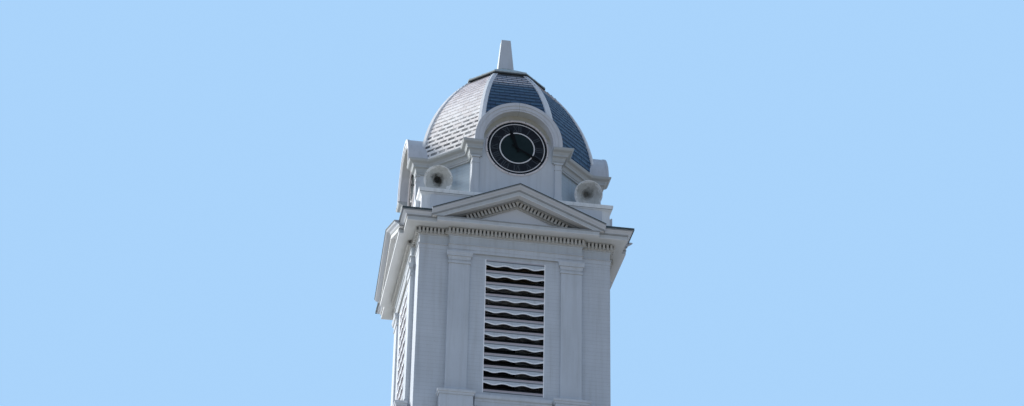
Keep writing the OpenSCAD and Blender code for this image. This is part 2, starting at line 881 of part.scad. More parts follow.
module hour_hand(i) {
    color(dial_black) on_side(i) at_angle(hour_angle) hand(hour_hand_len, hour_hand_w, hour_y);
}

// Half width of the dome's slates at height z, and the profile of an inset skin
function dome_a(z) = dome_x0 + sqrt(pow(dome_r, 2) - pow(z - dome_z0, 2));
function dome_profile(inset, z1) = let (steps = 14)
    [for (k = [0:steps]) let (z = z_dome + (z1 - z_dome) * k / steps) [dome_a(z) - inset, z]];

module slate_dome() {
    color(slate_blue)
        difference() {
            moulded_octagon(0, dome_profile(0, z_collar));
            moulded_octagon(0, concat([[dome_a(z_dome) - dome_t, z_dome - 1]],
                dome_profile(dome_t, z_collar), [[dome_a(z_collar) - dome_t, z_collar + 1]]));
            on_all_sides()
                translate([0, -reach, z_hood])
                    rotate([-90, 0, 0])
                        cylinder(r = hood_r - hood_lap, h = reach, $fn = 360);
            on_all_sides()
                translate([hood_lap - hood_r, -reach, z_dome - 1])
                    cube([2 * (hood_r - hood_lap), reach, z_hood - z_dome + 1]);
        }
}

// Rib on the hip right of a hood, of two boards that meet in a mitre along the hip;
// its foot is cut to a plane that grazes the hood
module dome_rib() {
    foot_slope = 32.5;
    difference() {
        intersection() {
            rotate([0, 0, -67.5])
                translate([0, -rib_w / 2, z_dome])
                    cube([reach, rib_w, dome_h]);
            moulded_octagon(0, dome_profile(-rib_proj, z_collar));
        }
        translate([0, 0, z_hood])
            rotate([0, -foot_slope, 0])
                translate([-reach, -reach, -reach])
                    cube([reach + hood_r - hood_lap, 2 * reach, 2 * reach]);
    }
}

module dome_ribs() {
    color(white_paint)
        difference() {
            on_all_sides()
                for (s = [0, 1]) mirror([s, 0, 0]) dome_rib();
            moulded_octagon(0, concat([[dome_a(z_dome), z_dome - 1]], dome_profile(0, z_collar),
                [[dome_a(z_collar), z_collar + 1]]));
        }
}

module dome_cap() {
    a = dome_a(z_collar) + rib_proj - 25;
    lift = collar_h;
    profile = concat([[a - 40, z_collar], [a - 40, z_collar + lift * 0.3], [a, z_collar + lift * 0.4],
        [a, z_collar + lift * 0.8], [a - 24, z_collar + lift]],
        [[finial_w / 2 + 30, z_finial - 20], [finial_w / 2 + 30, z_finial]]);
    color(grey_paint) moulded_octagon(0, profile);
}

// Square tapering finial, its four faces cut from crossed profiles
module finial() {
    w0 = finial_w / 2;
    w1 = finial_top_w / 2;
    color(white_paint)
        moulded_block(0, 0, [[w0, z_finial], [w1, z_finial + finial_h]]);
}

// Horn loudspeaker on a post in front of a diagonal wall; its mouth, with a rolled rim, faces the front
module roof_horn() {
    r = horn_d / 2;
    wall = 8;
    rim = 10;
    throat = 40;
    driver_r = 70;
    post_r = 30;
    wall_gap = 180;
    flare = [for (k = [0:8]) let (t = k / 8) [throat + (r - throat) * pow(t, 2.2), (horn_len - 2 * rim) * t]];
    body = concat([[0, -driver_len], [driver_r, -driver_len], [driver_r, -20], [throat, 0]], flare,
        [[r + rim, horn_len - 2 * rim], [r + rim, horn_len], [r - wall, horn_len]],
        [for (k = [8:-1:1]) [flare[k][0] - wall, flare[k][1]]],
        [[0, throat]]);
    back = driver_len / 2;
    throat_y = drum_a * sqrt(2) - horn_x + driver_len * cos(horn_tilt) + wall_gap;
    translate([horn_x, -throat_y, z_stage]) {
        translate([0, 0, horn_z])
            rotate([90 + horn_tilt, 0, 0])
                rotate_extrude($fn = 64) polygon(body);
        translate([0, back * cos(horn_tilt), 0])
            cylinder(r = post_r, h = horn_z + back * sin(horn_tilt) - driver_r / 2, $fn = 32);
    }
}

// Two horns face the front and two the back
module roof_horns() {
    color(grey_paint)
        for (s = [0, 1], b = [0, 1])
            mirror([s, 0, 0]) mirror([0, b, 0]) roof_horn();
}

ground_plinth();
base_walls();
string_course();
pedestals();
sill_courses();
belfry_wall(0);  // front_belfry_wall
belfry_wall(1);  // right_belfry_wall
belfry_wall(2);  // back_belfry_wall
belfry_wall(3);  // left_belfry_wall
belfry_pilasters();
louvres(0);  // front_louvres
louvres(1);  // right_louvres
louvres(2);  // back_louvres
louvres(3);  // left_louvres
belfry_floor();
architrave();
frieze();
dentil_course();
main_cornice();
pediments();
attic_plinth();
clock_room_floor();
clock_wall(0);  // front_clock_wall
clock_wall(1);  // right_clock_wall
clock_wall(2);  // back_clock_wall
clock_wall(3);  // left_clock_wall
drum_walls();
stage_entablature();
dormer_hoods();
dial_plates();
dial_frames();
dial_rings();
dial_arbors();
minute_hand(0);  // front_minute_hand
minute_hand(1);  // right_minute_hand
minute_hand(2);  // back_minute_hand
minute_hand(3);  // left_minute_hand
hour_hand(0);  // front_hour_hand
hour_hand(1);  // right_hour_hand
hour_hand(2);  // back_hour_hand
hour_hand(3);  // left_hour_hand
slate_dome();
dome_ribs();
dome_cap();
finial();
roof_horns();
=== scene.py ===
# %% [markdown]
# # A white timber clock tower
# The tower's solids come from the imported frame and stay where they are. This script dresses them:
# weathered paint, real slates, sheet metal seams, numerals and the small ironwork. Everything is in
# metres, +Z is up, the front faces -Y, and each finished piece has its place in its own mesh.

# %% Load the frame and note its size
import math

import bmesh
import bpy
from mathutils import Matrix, Vector


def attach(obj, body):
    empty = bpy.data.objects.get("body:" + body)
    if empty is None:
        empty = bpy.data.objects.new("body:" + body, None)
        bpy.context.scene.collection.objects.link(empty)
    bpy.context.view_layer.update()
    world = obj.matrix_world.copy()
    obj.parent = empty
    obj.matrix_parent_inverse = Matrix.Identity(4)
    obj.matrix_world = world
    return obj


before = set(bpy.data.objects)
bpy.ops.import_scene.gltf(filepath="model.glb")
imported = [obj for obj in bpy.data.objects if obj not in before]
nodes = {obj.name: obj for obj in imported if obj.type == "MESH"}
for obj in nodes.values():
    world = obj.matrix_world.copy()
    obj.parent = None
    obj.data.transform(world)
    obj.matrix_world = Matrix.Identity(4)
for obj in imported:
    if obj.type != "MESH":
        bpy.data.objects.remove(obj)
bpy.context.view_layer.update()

# %% [markdown]
# ## Camera
# The photograph looks up at the tower from far below the belfry, a little to the left of it. A long
# lens from a distance keeps the lines nearly parallel, as they are in the picture. The camera's
# axes are written out from its heading, its tilt and a slight roll, so nothing is aimed by eye.

# %% The photograph's camera
VIEWPOINT = Vector((-7.2683, -47.4673, -16.8198))
HEADING, TILT, ROLL = 0.1572109, 0.5218579, 0.0201489
DIAL_HEIGHT, DIAL_PLANE = 11.04, 2.225
ahead = Vector((math.sin(HEADING) * math.cos(TILT), math.cos(HEADING) * math.cos(TILT), math.sin(TILT)))
level = Vector((math.cos(HEADING), -math.sin(HEADING), 0))
above = level.cross(ahead)
right = level * math.cos(ROLL) + above * math.sin(ROLL)
upward = above * math.cos(ROLL) - level * math.sin(ROLL)
camera = bpy.data.objects.new("camera", bpy.data.cameras.new("camera"))
bpy.context.scene.collection.objects.link(camera)
axes = Matrix((right, upward, -ahead)).transposed()
camera.matrix_world = Matrix.Translation(VIEWPOINT) @ axes.to_4x4()
camera.data.lens = 78.71
camera.data.sensor_width = 36
camera.data.clip_end = 400
bpy.context.scene.camera = camera
print("distance to the dial:", round((Vector((0, -DIAL_PLANE, DIAL_HEIGHT)) - VIEWPOINT).length, 1), "m")

# %% [markdown]
# ## A shorthand for nodes
# Light, finishes and repeated pieces are all node trees. Writing each node out takes many lines, so
# this small class adds one node for each call and hands its output on. A tree could also be drawn by
# hand in Blender's editor, but then its sizes couldn't be named values in this script.

# %% The NodeNet class


class NodeNet:
    """A node tree under construction."""

    def __init__(self, tree):
        self.tree = tree

    def add(self, kind, inputs=None, **settings):
        node = self.tree.nodes.new(kind)
        for key, value in settings.items():
            setattr(node, key, value)
        for key, value in (inputs or {}).items():
            if isinstance(value, bpy.types.NodeSocket):
                self.tree.links.new(value, node.inputs[key])
            else:
                node.inputs[key].default_value = value
        return node

    def get(self, kind, inputs=None, **settings):
        """Adds a node and hands its first output on."""
        return self.add(kind, inputs, **settings).outputs[0]

    def math(self, operation, a, b=0.0, c=0.0):
        return self.get("ShaderNodeMath", {0: a, 1: b, 2: c}, operation=operation)

    def sum(self, *terms):
        total = terms[0]
        for term in terms[1:]:
            total = self.math("ADD", total, term)
        return total

    def minus(self, a, b):
        return self.math("SUBTRACT", a, b)

    def times(self, *factors):
        total = factors[0]
        for factor in factors[1:]:
            total = self.math("MULTIPLY", total, factor)
        return total

    def hypot(self, a, b):
        return self.math("SQRT", self.sum(self.times(a, a), self.times(b, b)))

    def axes(self, vector):
        return self.add("ShaderNodeSeparateXYZ", {0: vector}).outputs

    def span(self, value, low, high, to_low=0.0, to_high=1.0):
        """Spreads low..high over to_low..to_high and stops at both ends."""
        inputs = {0: value, 1: low, 2: high, 3: to_low, 4: to_high}
        return self.get("ShaderNodeMapRange", inputs, clamp=True)

    def near(self, value, level, outer, inner):
        """A line: 1 within inner of the level, and 0 from outer on."""
        return self.span(self.math("ABSOLUTE", self.minus(value, level)), outer, inner)

    def blend(self, share, a, b):
        """Mixes two colours, each an output or three numbers."""
        node = self.add("ShaderNodeMix", data_type="RGBA", blend_type="MIX")
        for socket, value in ((node.inputs[0], share), (node.inputs[6], a), (node.inputs[7], b)):
            if isinstance(value, bpy.types.NodeSocket):
                self.tree.links.new(value, socket)
            elif isinstance(value, tuple):
                socket.default_value = (*value, 1)
            else:
                socket.default_value = value
        return node.outputs[2]


print("node trees can be written")

# %% [markdown]
# ## Light and floor
# In the picture the sun stands to the left and a little behind the front, so the front is in soft
# sky light and the left faces are bright. One large soft lamp takes the sun's place. The world is
# bluish from above and warm from below, because open sky and sunlit ground light the real tower, and
# that is why its soffits look tan. The background colour is seen by the camera and reflections only,
# so it can be bright and still not light matt paint. The floor is a plain pale disc.

# %% The world's light
SKY_LIGHT, GROUND_LIGHT = (0.30, 0.40, 0.57), (0.425, 0.405, 0.375)
BACKDROP = (0.40, 0.655, 0.97)
world = bpy.data.worlds.new("studio")
bpy.context.scene.world = world
world.use_nodes = True
world.node_tree.nodes.clear()
sky = NodeNet(world.node_tree)
rays = sky.add("ShaderNodeLightPath").outputs
reflected = sky.math("MAXIMUM", rays["Is Glossy Ray"], rays["Is Transmission Ray"])
seen = sky.math("MAXIMUM", rays["Is Camera Ray"], reflected)
upwards = sky.axes(sky.add("ShaderNodeTexCoord").outputs["Generated"])["Z"]
sky_or_ground = sky.blend(sky.span(upwards, -0.3, 0.3), GROUND_LIGHT, SKY_LIGHT)
lighting = sky.get("ShaderNodeBackground", {"Color": sky_or_ground})
backdrop = sky.get("ShaderNodeBackground", {"Color": (*BACKDROP, 1)})
either = sky.get("ShaderNodeMixShader", {0: seen, 1: lighting, 2: backdrop})
sky.add("ShaderNodeOutputWorld", {"Surface": either})
bpy.context.scene.view_settings.view_transform = "Standard"
print("sky light", SKY_LIGHT, "ground light", GROUND_LIGHT)

# %% Key lamp and floor
SUNWARD = Vector((-0.83, 0.40, 0.39)).normalized()
LAMP_AIM, LAMP_DISTANCE = Vector((0, 0, 9)), 30
FLOOR_RADIUS = 9.8
lamp = bpy.data.lights.new("key", "AREA")
lamp.size = 8
lamp.energy = 13100
lamp.color = (1.0, 0.975, 0.935)
holder = bpy.data.objects.new("key", lamp)
bpy.context.scene.collection.objects.link(holder)
aimed = SUNWARD.to_track_quat("Z", "Y").to_matrix().to_4x4()
holder.matrix_world = Matrix.Translation(LAMP_AIM + SUNWARD * LAMP_DISTANCE) @ aimed

bpy.ops.mesh.primitive_circle_add(vertices=96, radius=FLOOR_RADIUS, fill_type="NGON")
floor = bpy.context.object
floor.name = "floor"
floor_finish = bpy.data.materials.new("floor")
floor_finish.use_nodes = True
floor_shader = floor_finish.node_tree.nodes["Principled BSDF"]
floor_shader.inputs["Base Color"].default_value = (0.62, 0.64, 0.66, 1)
floor_shader.inputs["Roughness"].default_value = 0.9
floor.data.materials.append(floor_finish)
print("key lamp and floor are in place")

# %% [markdown]
# ## A finish
# A finish is a Principled shader with a few noise patterns before it. Pictures could be wrapped round
# the pieces instead, but each would need its own unwrapped map. These patterns read Object coordinates
# and fit every piece alike. Every piece's object sits at the origin, so the coordinates are metres on
# the tower, and a stain or a joint can be put at a height that is measured from the ground.

# %% The Finish class


class Finish(NodeNet):
    """A material under construction."""

    def __init__(self, name, roughness, metallic=0.0, specular=0.4):
        self.material = bpy.data.materials.new(name)
        self.material.use_nodes = True
        super().__init__(self.material.node_tree)
        self.shader = self.tree.nodes["Principled BSDF"]
        self.shader.inputs["Roughness"].default_value = roughness
        self.shader.inputs["Metallic"].default_value = metallic
        self.shader.inputs["Specular IOR Level"].default_value = specular
        self.place = self.add("ShaderNodeTexCoord").outputs["Object"]

    def facing_up(self):
        """How far the surface faces up (1) or down (-1)."""
        return self.axes(self.add("ShaderNodeNewGeometry").outputs["Normal"])[2]

    def stretch(self, x, y, z):
        return self.get("ShaderNodeMapping", {"Vector": self.place, "Scale": (x, y, z)})

    def noise(self, scale, detail, rough, vector=None, shift=0.0):
        where = vector or self.place
        if shift:
            where = self.get("ShaderNodeVectorMath", {0: where, 1: (shift, shift, shift)})
        inputs = {"Vector": where, "Scale": scale, "Detail": detail, "Roughness": rough}
        return self.add("ShaderNodeTexNoise", inputs).outputs["Fac"]

    def relief(self, height, distance, strength):
        bump = self.get("ShaderNodeBump", {"Height": height, "Distance": distance, "Strength": strength})
        self.tree.links.new(bump, self.shader.inputs["Normal"])

    def colour(self, socket):
        self.tree.links.new(socket, self.shader.inputs["Base Color"])

    def sheen_of(self, socket):
        self.tree.links.new(socket, self.shader.inputs["Roughness"])


def shaded(tone, share):
    return tuple(c * share for c in tone)


print("finishes can be made")

# %% [markdown]
# ## Weathered white paint
# The tower is softwood under many coats of white oil paint. Rain draws grey streaks down the boards,
# dust lies on every ledge, and the undersides are painted a darker, warmer tone as painted shade and
# painted bounce light. Noise stretched along Z gives the streaks, and the surface's own direction tells
# ledges and soffits apart, so the same finish works on each moulding from every side. A finish can
# take heights where a dark line of painted shadow lies under a lip, and zone is a function that adds
# what one finish has alone.

# %% Painted timber, with or without board joints
BOARD = 0.0935
# GRIME is dirt; the black after it is painted shade, for lines under lips and the gaps between dentils.
GRIME, SHADE_BLACK = (0.20, 0.20, 0.185), (0.07, 0.07, 0.065)
RAIN_STREAK, SPECK = (0.37, 0.385, 0.385), (0.31, 0.29, 0.25)


def weather_and_underside_shade(f, base, soffit, dirt, streaks):
    """Rain streaks and specks, painted shade and bounce light on undersides, and dirt on ledges."""
    faces_up = f.facing_up()
    runs = f.noise(1.0, 6.0, 0.62, f.stretch(9.0, 9.0, 0.55))
    fine_runs = f.noise(1.0, 4.0, 0.6, f.stretch(38.0, 38.0, 1.6), shift=3.1)
    washed = f.times(f.span(runs, 0.46, 0.74), streaks, f.span(fine_runs, 0.3, 0.6, 0.55, 1.0))
    base = f.blend(washed, base, RAIN_STREAK)
    specks = f.span(f.noise(26.0, 3.0, 0.5), 0.66, 0.74)
    base = f.blend(f.times(specks, 0.25), base, SPECK)
    # Undersides get the soffit tone: painted shade, and on wide soffits painted warm bounce light.
    underside_shade = f.blend(f.span(f.noise(1.7, 5.0, 0.6, shift=2.4), 0.3, 0.7), shaded(soffit, 0.86), soffit)
    base = f.blend(f.times(f.span(faces_up, -0.55, -0.97), 0.95), base, underside_shade)
    grimy = f.span(f.noise(3.2, 6.0, 0.65, shift=8.0), 0.38, 0.62, 0.35, 1.0)
    return f.blend(f.times(f.span(faces_up, 0.45, 0.9), grimy, dirt), base, GRIME)


def boarded(f, base, height, tone):
    """Level boards: each has its own shade, and a joint shows between two of them."""
    z = f.axes(f.place)[2]
    upright = f.span(f.math("ABSOLUTE", f.facing_up()), 0.5, 0.3)
    dark_line = f.times(f.span(f.math("PINGPONG", z, BOARD / 2), 0.0040, 0.0014), upright)
    number = f.math("FLOOR", f.math("DIVIDE", f.sum(z, BOARD / 2), BOARD))
    each = f.add("ShaderNodeTexWhiteNoise", {"W": number}, noise_dimensions="1D").outputs["Value"]
    base = f.blend(f.times(each, 0.09), base, shaded(tone, 0.70))
    return f.blend(f.times(dark_line, 0.30), base, GRIME), f.minus(height, f.times(dark_line, 0.6))


def painted_timber(name, tone, soffit, boards=False, dirt=0.42, streaks=0.42, joints=(), zone=None):
    """Paint of one tone, with another on its undersides as painted shade and bounce light."""
    f = Finish(name, roughness=0.62, specular=0.3)
    patches = f.noise(0.9, 5.0, 0.6)
    base = f.blend(f.span(patches, 0.3, 0.7), shaded(tone, 0.94), shaded(tone, 1.06))
    base = weather_and_underside_shade(f, base, soffit, dirt, streaks)
    for shade_line_height in joints:
        # A dark line at each given height, as painted shadow under a lip.
        dark_line = f.near(f.axes(f.place)[2], shade_line_height, 0.007, 0.004)
        base = f.blend(f.times(dark_line, 0.85), base, SHADE_BLACK)
    height = f.times(f.noise(14.0, 8.0, 0.6), 0.25)
    if boards:
        base, height = boarded(f, base, height, tone)
    if zone:
        base = zone(f, base)
    f.colour(base)
    f.sheen_of(f.span(patches, 0.3, 0.7, 0.55, 0.74))
    f.relief(height, 0.004, 0.7)
    return f.material


print("boards", BOARD * 1000, "mm apart")

# %% The tower's paints
# PAINT is greyer and bluer than the white of the real paint, in part as painted shade on faces turned from
# the sun.
PAINT, AGED_PAINT = (0.56, 0.60, 0.645), (0.54, 0.57, 0.585)
# The soffit tones are painted shade on undersides, and on the wide soffits painted warm bounce light.
SOFFIT_GREY, SOFFIT_TAN = (0.42, 0.42, 0.39), (0.68, 0.66, 0.63)
# Heights of dark lines painted as shadow: at the frieze's foot, and under the attic's lip and at its foot.
FRIEZE_SHADOW_LINE, ATTIC_SHADOW_LINES = 8.204, (9.562, 8.872)
trim_paint = painted_timber("trim_paint", PAINT, SOFFIT_GREY)
board_paint = painted_timber("board_paint", PAINT, SOFFIT_GREY, boards=True)
sheet_paint = painted_timber("frieze_sheet_paint", (0.53, 0.575, 0.615), SOFFIT_GREY, streaks=0.45,
                             joints=(FRIEZE_SHADOW_LINE,))
# The attic is painted paler, as painted light against the shade that the cornice throws on it.
attic_paint = painted_timber("attic_paint", (0.80, 0.83, 0.84), (0.70, 0.72, 0.73), joints=ATTIC_SHADOW_LINES)
# The ribs are painted paler, as painted light for their sunlit sides.
rib_paint = painted_timber("rib_paint", (0.76, 0.79, 0.82), SOFFIT_GREY, streaks=0.4, dirt=0.25)
# The drum is painted darker, as painted shade, since its walls are in shadow though the lamp reaches them.
drum_paint = painted_timber("drum_paint", (0.43, 0.515, 0.58), SOFFIT_GREY, boards=True)
# The stage entablature is painted darker, as painted shade.
entablature_paint = painted_timber("entablature_paint", (0.44, 0.475, 0.495), (0.42, 0.435, 0.43))
print("seven paints")

# %% [markdown]
# ## Paint that changes with depth
# The dentils lie in the cornice's shade: the teeth are painted a warm tan, as painted shade with warm
# bounce light, and the gaps are painted black as shade. The shade could be painted from ambient
# occlusion, but that is slow to bake. The teeth stand on flat planes, so the distance from the tower's
# axis tells a tooth from a gap. The quirks between the cornice's mouldings are painted black as shade
# in the same way, and they follow the height over the cornice's foot, level or raking. The soffit near
# the dentils and the wall above each dial, under its hood, are olive.

# %% Where a point lies on the tower
CORNICE_FOOT, CORNICE_TOP = 8.600, 8.860
RAKE_APEX, RAKE_DEPTH, RAKE_END = 9.718, 0.232, 2.044
RAKE_SLOPE = math.atan((RAKE_APEX - CORNICE_TOP) / RAKE_END)


def from_axis(f):
    """Distance from the tower's axis to the face of the wall, distance along the wall, and height."""
    x, y, z = f.axes(f.place)
    x, y = f.math("ABSOLUTE", x), f.math("ABSOLUTE", y)
    return f.math("MAXIMUM", x, y), f.math("MINIMUM", x, y), z


def from_dial(f):
    """Distance from the nearest dial's centre, and height over it."""
    _, along, z = from_axis(f)
    up = f.minus(z, DIAL_HEIGHT)
    return f.hypot(along, up), up


def level_height(f):
    """Height over the foot of the level cornice."""
    return f.minus(f.axes(f.place)[2], CORNICE_FOOT)


def rake_height(f):
    """Height over the foot of a raking cornice, square to its slope."""
    _, along, z = from_axis(f)
    up = f.times(f.minus(z, RAKE_APEX), math.cos(RAKE_SLOPE))
    aside = f.times(along, math.sin(RAKE_SLOPE))
    return f.sum(up, aside, RAKE_DEPTH)


print("pediments rise at", round(math.degrees(RAKE_SLOPE), 1), "degrees")

# %% Zones of the dentils, the cornices and the hoods
TOOTH_PLANES, TOOTH_BAND = (2.355, 2.460), 0.075
TOOTH_WARM_SHADE, QUIRK_SHADE = (0.50, 0.49, 0.455), (0.13, 0.135, 0.135)
CROWN_PAINT, ARRIS_HIGHLIGHT = (0.56, 0.60, 0.66), (0.74, 0.76, 0.77)
SOFFIT_OLIVE, ARCH_OLIVE = (0.37, 0.35, 0.275), (0.40, 0.385, 0.315)
TYMPANUM = (0.70, 0.73, 0.77)
QUIRKS = (0.102, 0.122, 0.204)
HOOD_CROWN = 11.9


def moulding_lines(f, base, height):
    """Painted shade in the quirks between the cornice's mouldings, and a painted highlight on the arris of
    its corona.
    """
    base = f.blend(f.span(height, 0.124, 0.130, 0.0, 0.6), base, CROWN_PAINT)
    # A painted highlight along the corona's lower edge.
    base = f.blend(f.times(f.near(height, 0.006, 0.013, 0.007), 0.5), base, ARRIS_HIGHLIGHT)
    # Painted shade in each quirk.
    for quirk in QUIRKS:
        base = f.blend(f.times(f.near(height, quirk, 0.011, 0.005), 0.62), base, QUIRK_SHADE)
    return base


def dentils(f, base, planes, height):
    """Teeth painted tan and gaps painted black, as painted shade with bounce light under the cornice."""
    out = from_axis(f)[0]
    depth = f.math("ABSOLUTE", f.minus(out, planes[-1]))
    for plane in planes[:-1]:
        depth = f.math("MINIMUM", depth, f.math("ABSOLUTE", f.minus(out, plane)))
    in_band = f.math("LESS_THAN", depth, TOOTH_BAND)
    # Teeth: warm tan, painted shade with bounce light.
    tooth = f.times(in_band, f.span(f.noise(7.0, 4.0, 0.6), 0.3, 0.7, 0.75, 1.0))
    base = f.blend(tooth, base, TOOTH_WARM_SHADE)
    # Gaps: black, painted shade in the recess.
    gap = f.times(in_band, f.span(depth, 0.008, 0.040), f.span(height, -0.090, -0.070))
    return f.blend(f.times(gap, 0.97), base, SHADE_BLACK)


def dentil_zone(f, base):
    return dentils(f, base, TOOTH_PLANES, level_height(f))


def pediment_zone(f, base):
    """The raking cornice's dentils and mouldings, and the tympanum under them, painted paler as light against
    the cornice's shade.
    """
    height = rake_height(f)
    base = moulding_lines(f, dentils(f, base, TOOTH_PLANES[1:], height), height)
    # The tympanum is painted paler, as painted light.
    return f.blend(f.span(height, -0.170, -0.174), base, TYMPANUM)


def cornice_zone(f, base):
    """Olive on the soffit near the dentils, and the mouldings' lines."""
    olive_share = f.times(f.span(from_axis(f)[0], 2.66, 2.50), f.span(f.facing_up(), -0.4, -0.8),
                    f.span(f.noise(4.0, 5.0, 0.6, shift=7.0), 0.3, 0.6, 0.5, 0.85))
    return moulding_lines(f, f.blend(olive_share, base, SOFFIT_OLIVE), level_height(f))


def arch_zone(f, base):
    """The olive wall over a dial, under its hood."""
    radius, up = from_dial(f)
    share = f.times(f.span(radius, 0.775, 0.80), f.span(up, 0.10, 0.34),
                    f.span(f.noise(5.0, 5.0, 0.6), 0.3, 0.65, 0.7, 1.0))
    return f.blend(share, base, ARCH_OLIVE)


def crown_zone(f, base):
    """The joint at the crown of a hood, where its two halves meet."""
    _, along, z = from_axis(f)
    split = f.times(f.span(along, 0.008, 0.005), f.math("GREATER_THAN", z, HOOD_CROWN))
    return f.blend(f.times(split, 0.45), base, GRIME)


dentil_paint = painted_timber("dentil_paint", AGED_PAINT, SOFFIT_TAN, zone=dentil_zone)
pediment_paint = painted_timber("pediment_paint", AGED_PAINT, SOFFIT_TAN, zone=pediment_zone)
cornice_paint = painted_timber("cornice_paint", AGED_PAINT, SOFFIT_TAN, zone=cornice_zone)
arch_paint = painted_timber("arch_paint", PAINT, SOFFIT_GREY, zone=arch_zone)
hood_paint = painted_timber("hood_paint", (0.58, 0.605, 0.65), (0.49, 0.50, 0.475), dirt=0.2, zone=crown_zone)
print("five paints that change with depth")

# %% [markdown]
# ## Louvre paint
# The louvre boards wear much the same paint as the walls. Their noses look pinkish, a painted shadow
# lies as a dark line under each nose, the stiles have a painted highlight on their edge, and behind the
# boards all is painted black as shade. Each part could have its own material, but the boards repeat at
# one pitch, so the share of a pitch that a point has climbed says which part it is on.

# %% Louvre paint by height
LOUVRE_FOOT, LOUVRE_PITCH, LOUVRE_WIDTH, LOUVRE_BACK = 4.570, 0.302667, 1.370, 2.284
f = Finish("louvre_paint", roughness=0.62, specular=0.3)
out, along, z = from_axis(f)
step = f.math("FRACT", f.math("DIVIDE", f.minus(z, LOUVRE_FOOT), LOUVRE_PITCH))
base = f.blend(f.span(f.noise(1.4, 5.0, 0.6), 0.3, 0.7), (0.50, 0.55, 0.60), (0.58, 0.63, 0.67))
runs = f.noise(1.0, 6.0, 0.62, f.stretch(16.0, 16.0, 1.2))
base = f.blend(f.times(f.span(runs, 0.5, 0.72), 0.35), base, (0.32, 0.34, 0.35))
# A dark line under each nose, painted shadow.
nose_shadow = f.times(f.span(step, 0.80, 0.84), f.span(step, 0.93, 0.90))
base = f.blend(f.times(nose_shadow, 0.85), base, (0.10, 0.105, 0.115))
nose = f.math("MAXIMUM", f.math("LESS_THAN", step, 0.076), f.math("GREATER_THAN", step, 0.935))
base = f.blend(f.times(nose, 0.9), base, (0.48, 0.43, 0.455))
stile = f.math("GREATER_THAN", along, LOUVRE_WIDTH / 2 - 0.001)
base = f.blend(stile, base, PAINT)
# A painted highlight along the stile's edge.
stile_highlight = f.near(along, LOUVRE_WIDTH / 2 + 0.009, 0.012, 0.008)
base = f.blend(f.times(stile_highlight, 0.95), base, (0.95, 0.96, 0.97))
# Everything behind the boards is painted black, as painted shade.
shade_behind = f.math("LESS_THAN", out, LOUVRE_BACK)
base = f.blend(f.times(shade_behind, 0.97), base, (0.008, 0.008, 0.009))
f.colour(base)
f.relief(f.noise(18.0, 8.0, 0.6), 0.002, 0.5)
louvre_paint = f.material
print("louvre paint repeats every", LOUVRE_PITCH, "m")

# %% [markdown]
# ## Stone and boards
# These are small areas, but each has its own wear. The plinth's blocks could be modelled one by one,
# but their joints are narrow and shallow, so a brick pattern draws them. It runs along x + y, which
# works on all four walls because each of them keeps one of the two fixed. The clock room's floor runs
# out into the open at its corners, and there it is sheet metal.

# %% Stone plinth
COURSE, BLOCK, STONE_JOINT = 0.225, 0.62, 0.006
f = Finish("plinth_stone", roughness=0.85, specular=0.3)
x, y, z = f.axes(f.place)
along = f.get("ShaderNodeCombineXYZ", {0: f.sum(x, y), 1: z})
inputs = {"Vector": along, "Color1": (0.36, 0.355, 0.335, 1), "Color2": (0.30, 0.30, 0.285, 1),
          "Mortar": (0.16, 0.155, 0.145, 1), "Scale": 1.0, "Mortar Size": STONE_JOINT,
          "Brick Width": BLOCK, "Row Height": COURSE}
blocks = f.add("ShaderNodeTexBrick", inputs).outputs
grain = f.noise(40.0, 8.0, 0.65)
base = f.blend(f.span(grain, 0.35, 0.7), blocks["Color"], (0.42, 0.41, 0.385))
base = f.blend(0.55, blocks["Color"], base)
lichen = f.span(f.noise(5.0, 6.0, 0.7, shift=5.0), 0.56, 0.68)
base = f.blend(f.times(lichen, 0.5), base, (0.24, 0.26, 0.17))
f.colour(base)
f.relief(f.minus(f.times(grain, 0.4), blocks["Fac"]), 0.006, 0.8)
plinth_stone = f.material
print("stone courses", COURSE, "m")

# %% Floor boards of bare softwood, and the sheet metal deck outside the drum
PLANK, DRUM_DIAGONAL, OPEN_AIR = 0.14, 2.90, 9.0
f = Finish("floor_softwood", roughness=0.8, specular=0.25)
x, y, z = f.axes(f.place)
grain = f.noise(1.0, 6.0, 0.6, f.stretch(3.0, 40.0, 40.0))
gap = f.span(f.math("PINGPONG", y, PLANK / 2), 0.004, 0.001)
base = f.blend(grain, (0.16, 0.115, 0.075), (0.30, 0.235, 0.165))
base = f.blend(gap, base, (0.03, 0.025, 0.02))
corner = f.sum(f.math("ABSOLUTE", x), f.math("ABSOLUTE", y))
decked = f.times(f.math("GREATER_THAN", corner, DRUM_DIAGONAL), f.math("GREATER_THAN", z, OPEN_AIR))
base = f.blend(decked, base, (0.44, 0.465, 0.47))
f.colour(base)
f.relief(f.minus(f.times(grain, 0.3), gap), 0.003, 0.6)
floor_softwood = f.material
print("floor boards", PLANK, "m")

# %% [markdown]
# ## Sheet metals
# The cap, the lead flashing and the horns are dull old sheet, clouded and streaked by rain, with a
# little rust on the horns. One function makes all four finishes. What belongs to one place, such as
# the dark throat of a horn or the pale top of the lead, is a zone again, so no picture is painted.

# %% Sheet metal
RUST = (0.25, 0.13, 0.07)


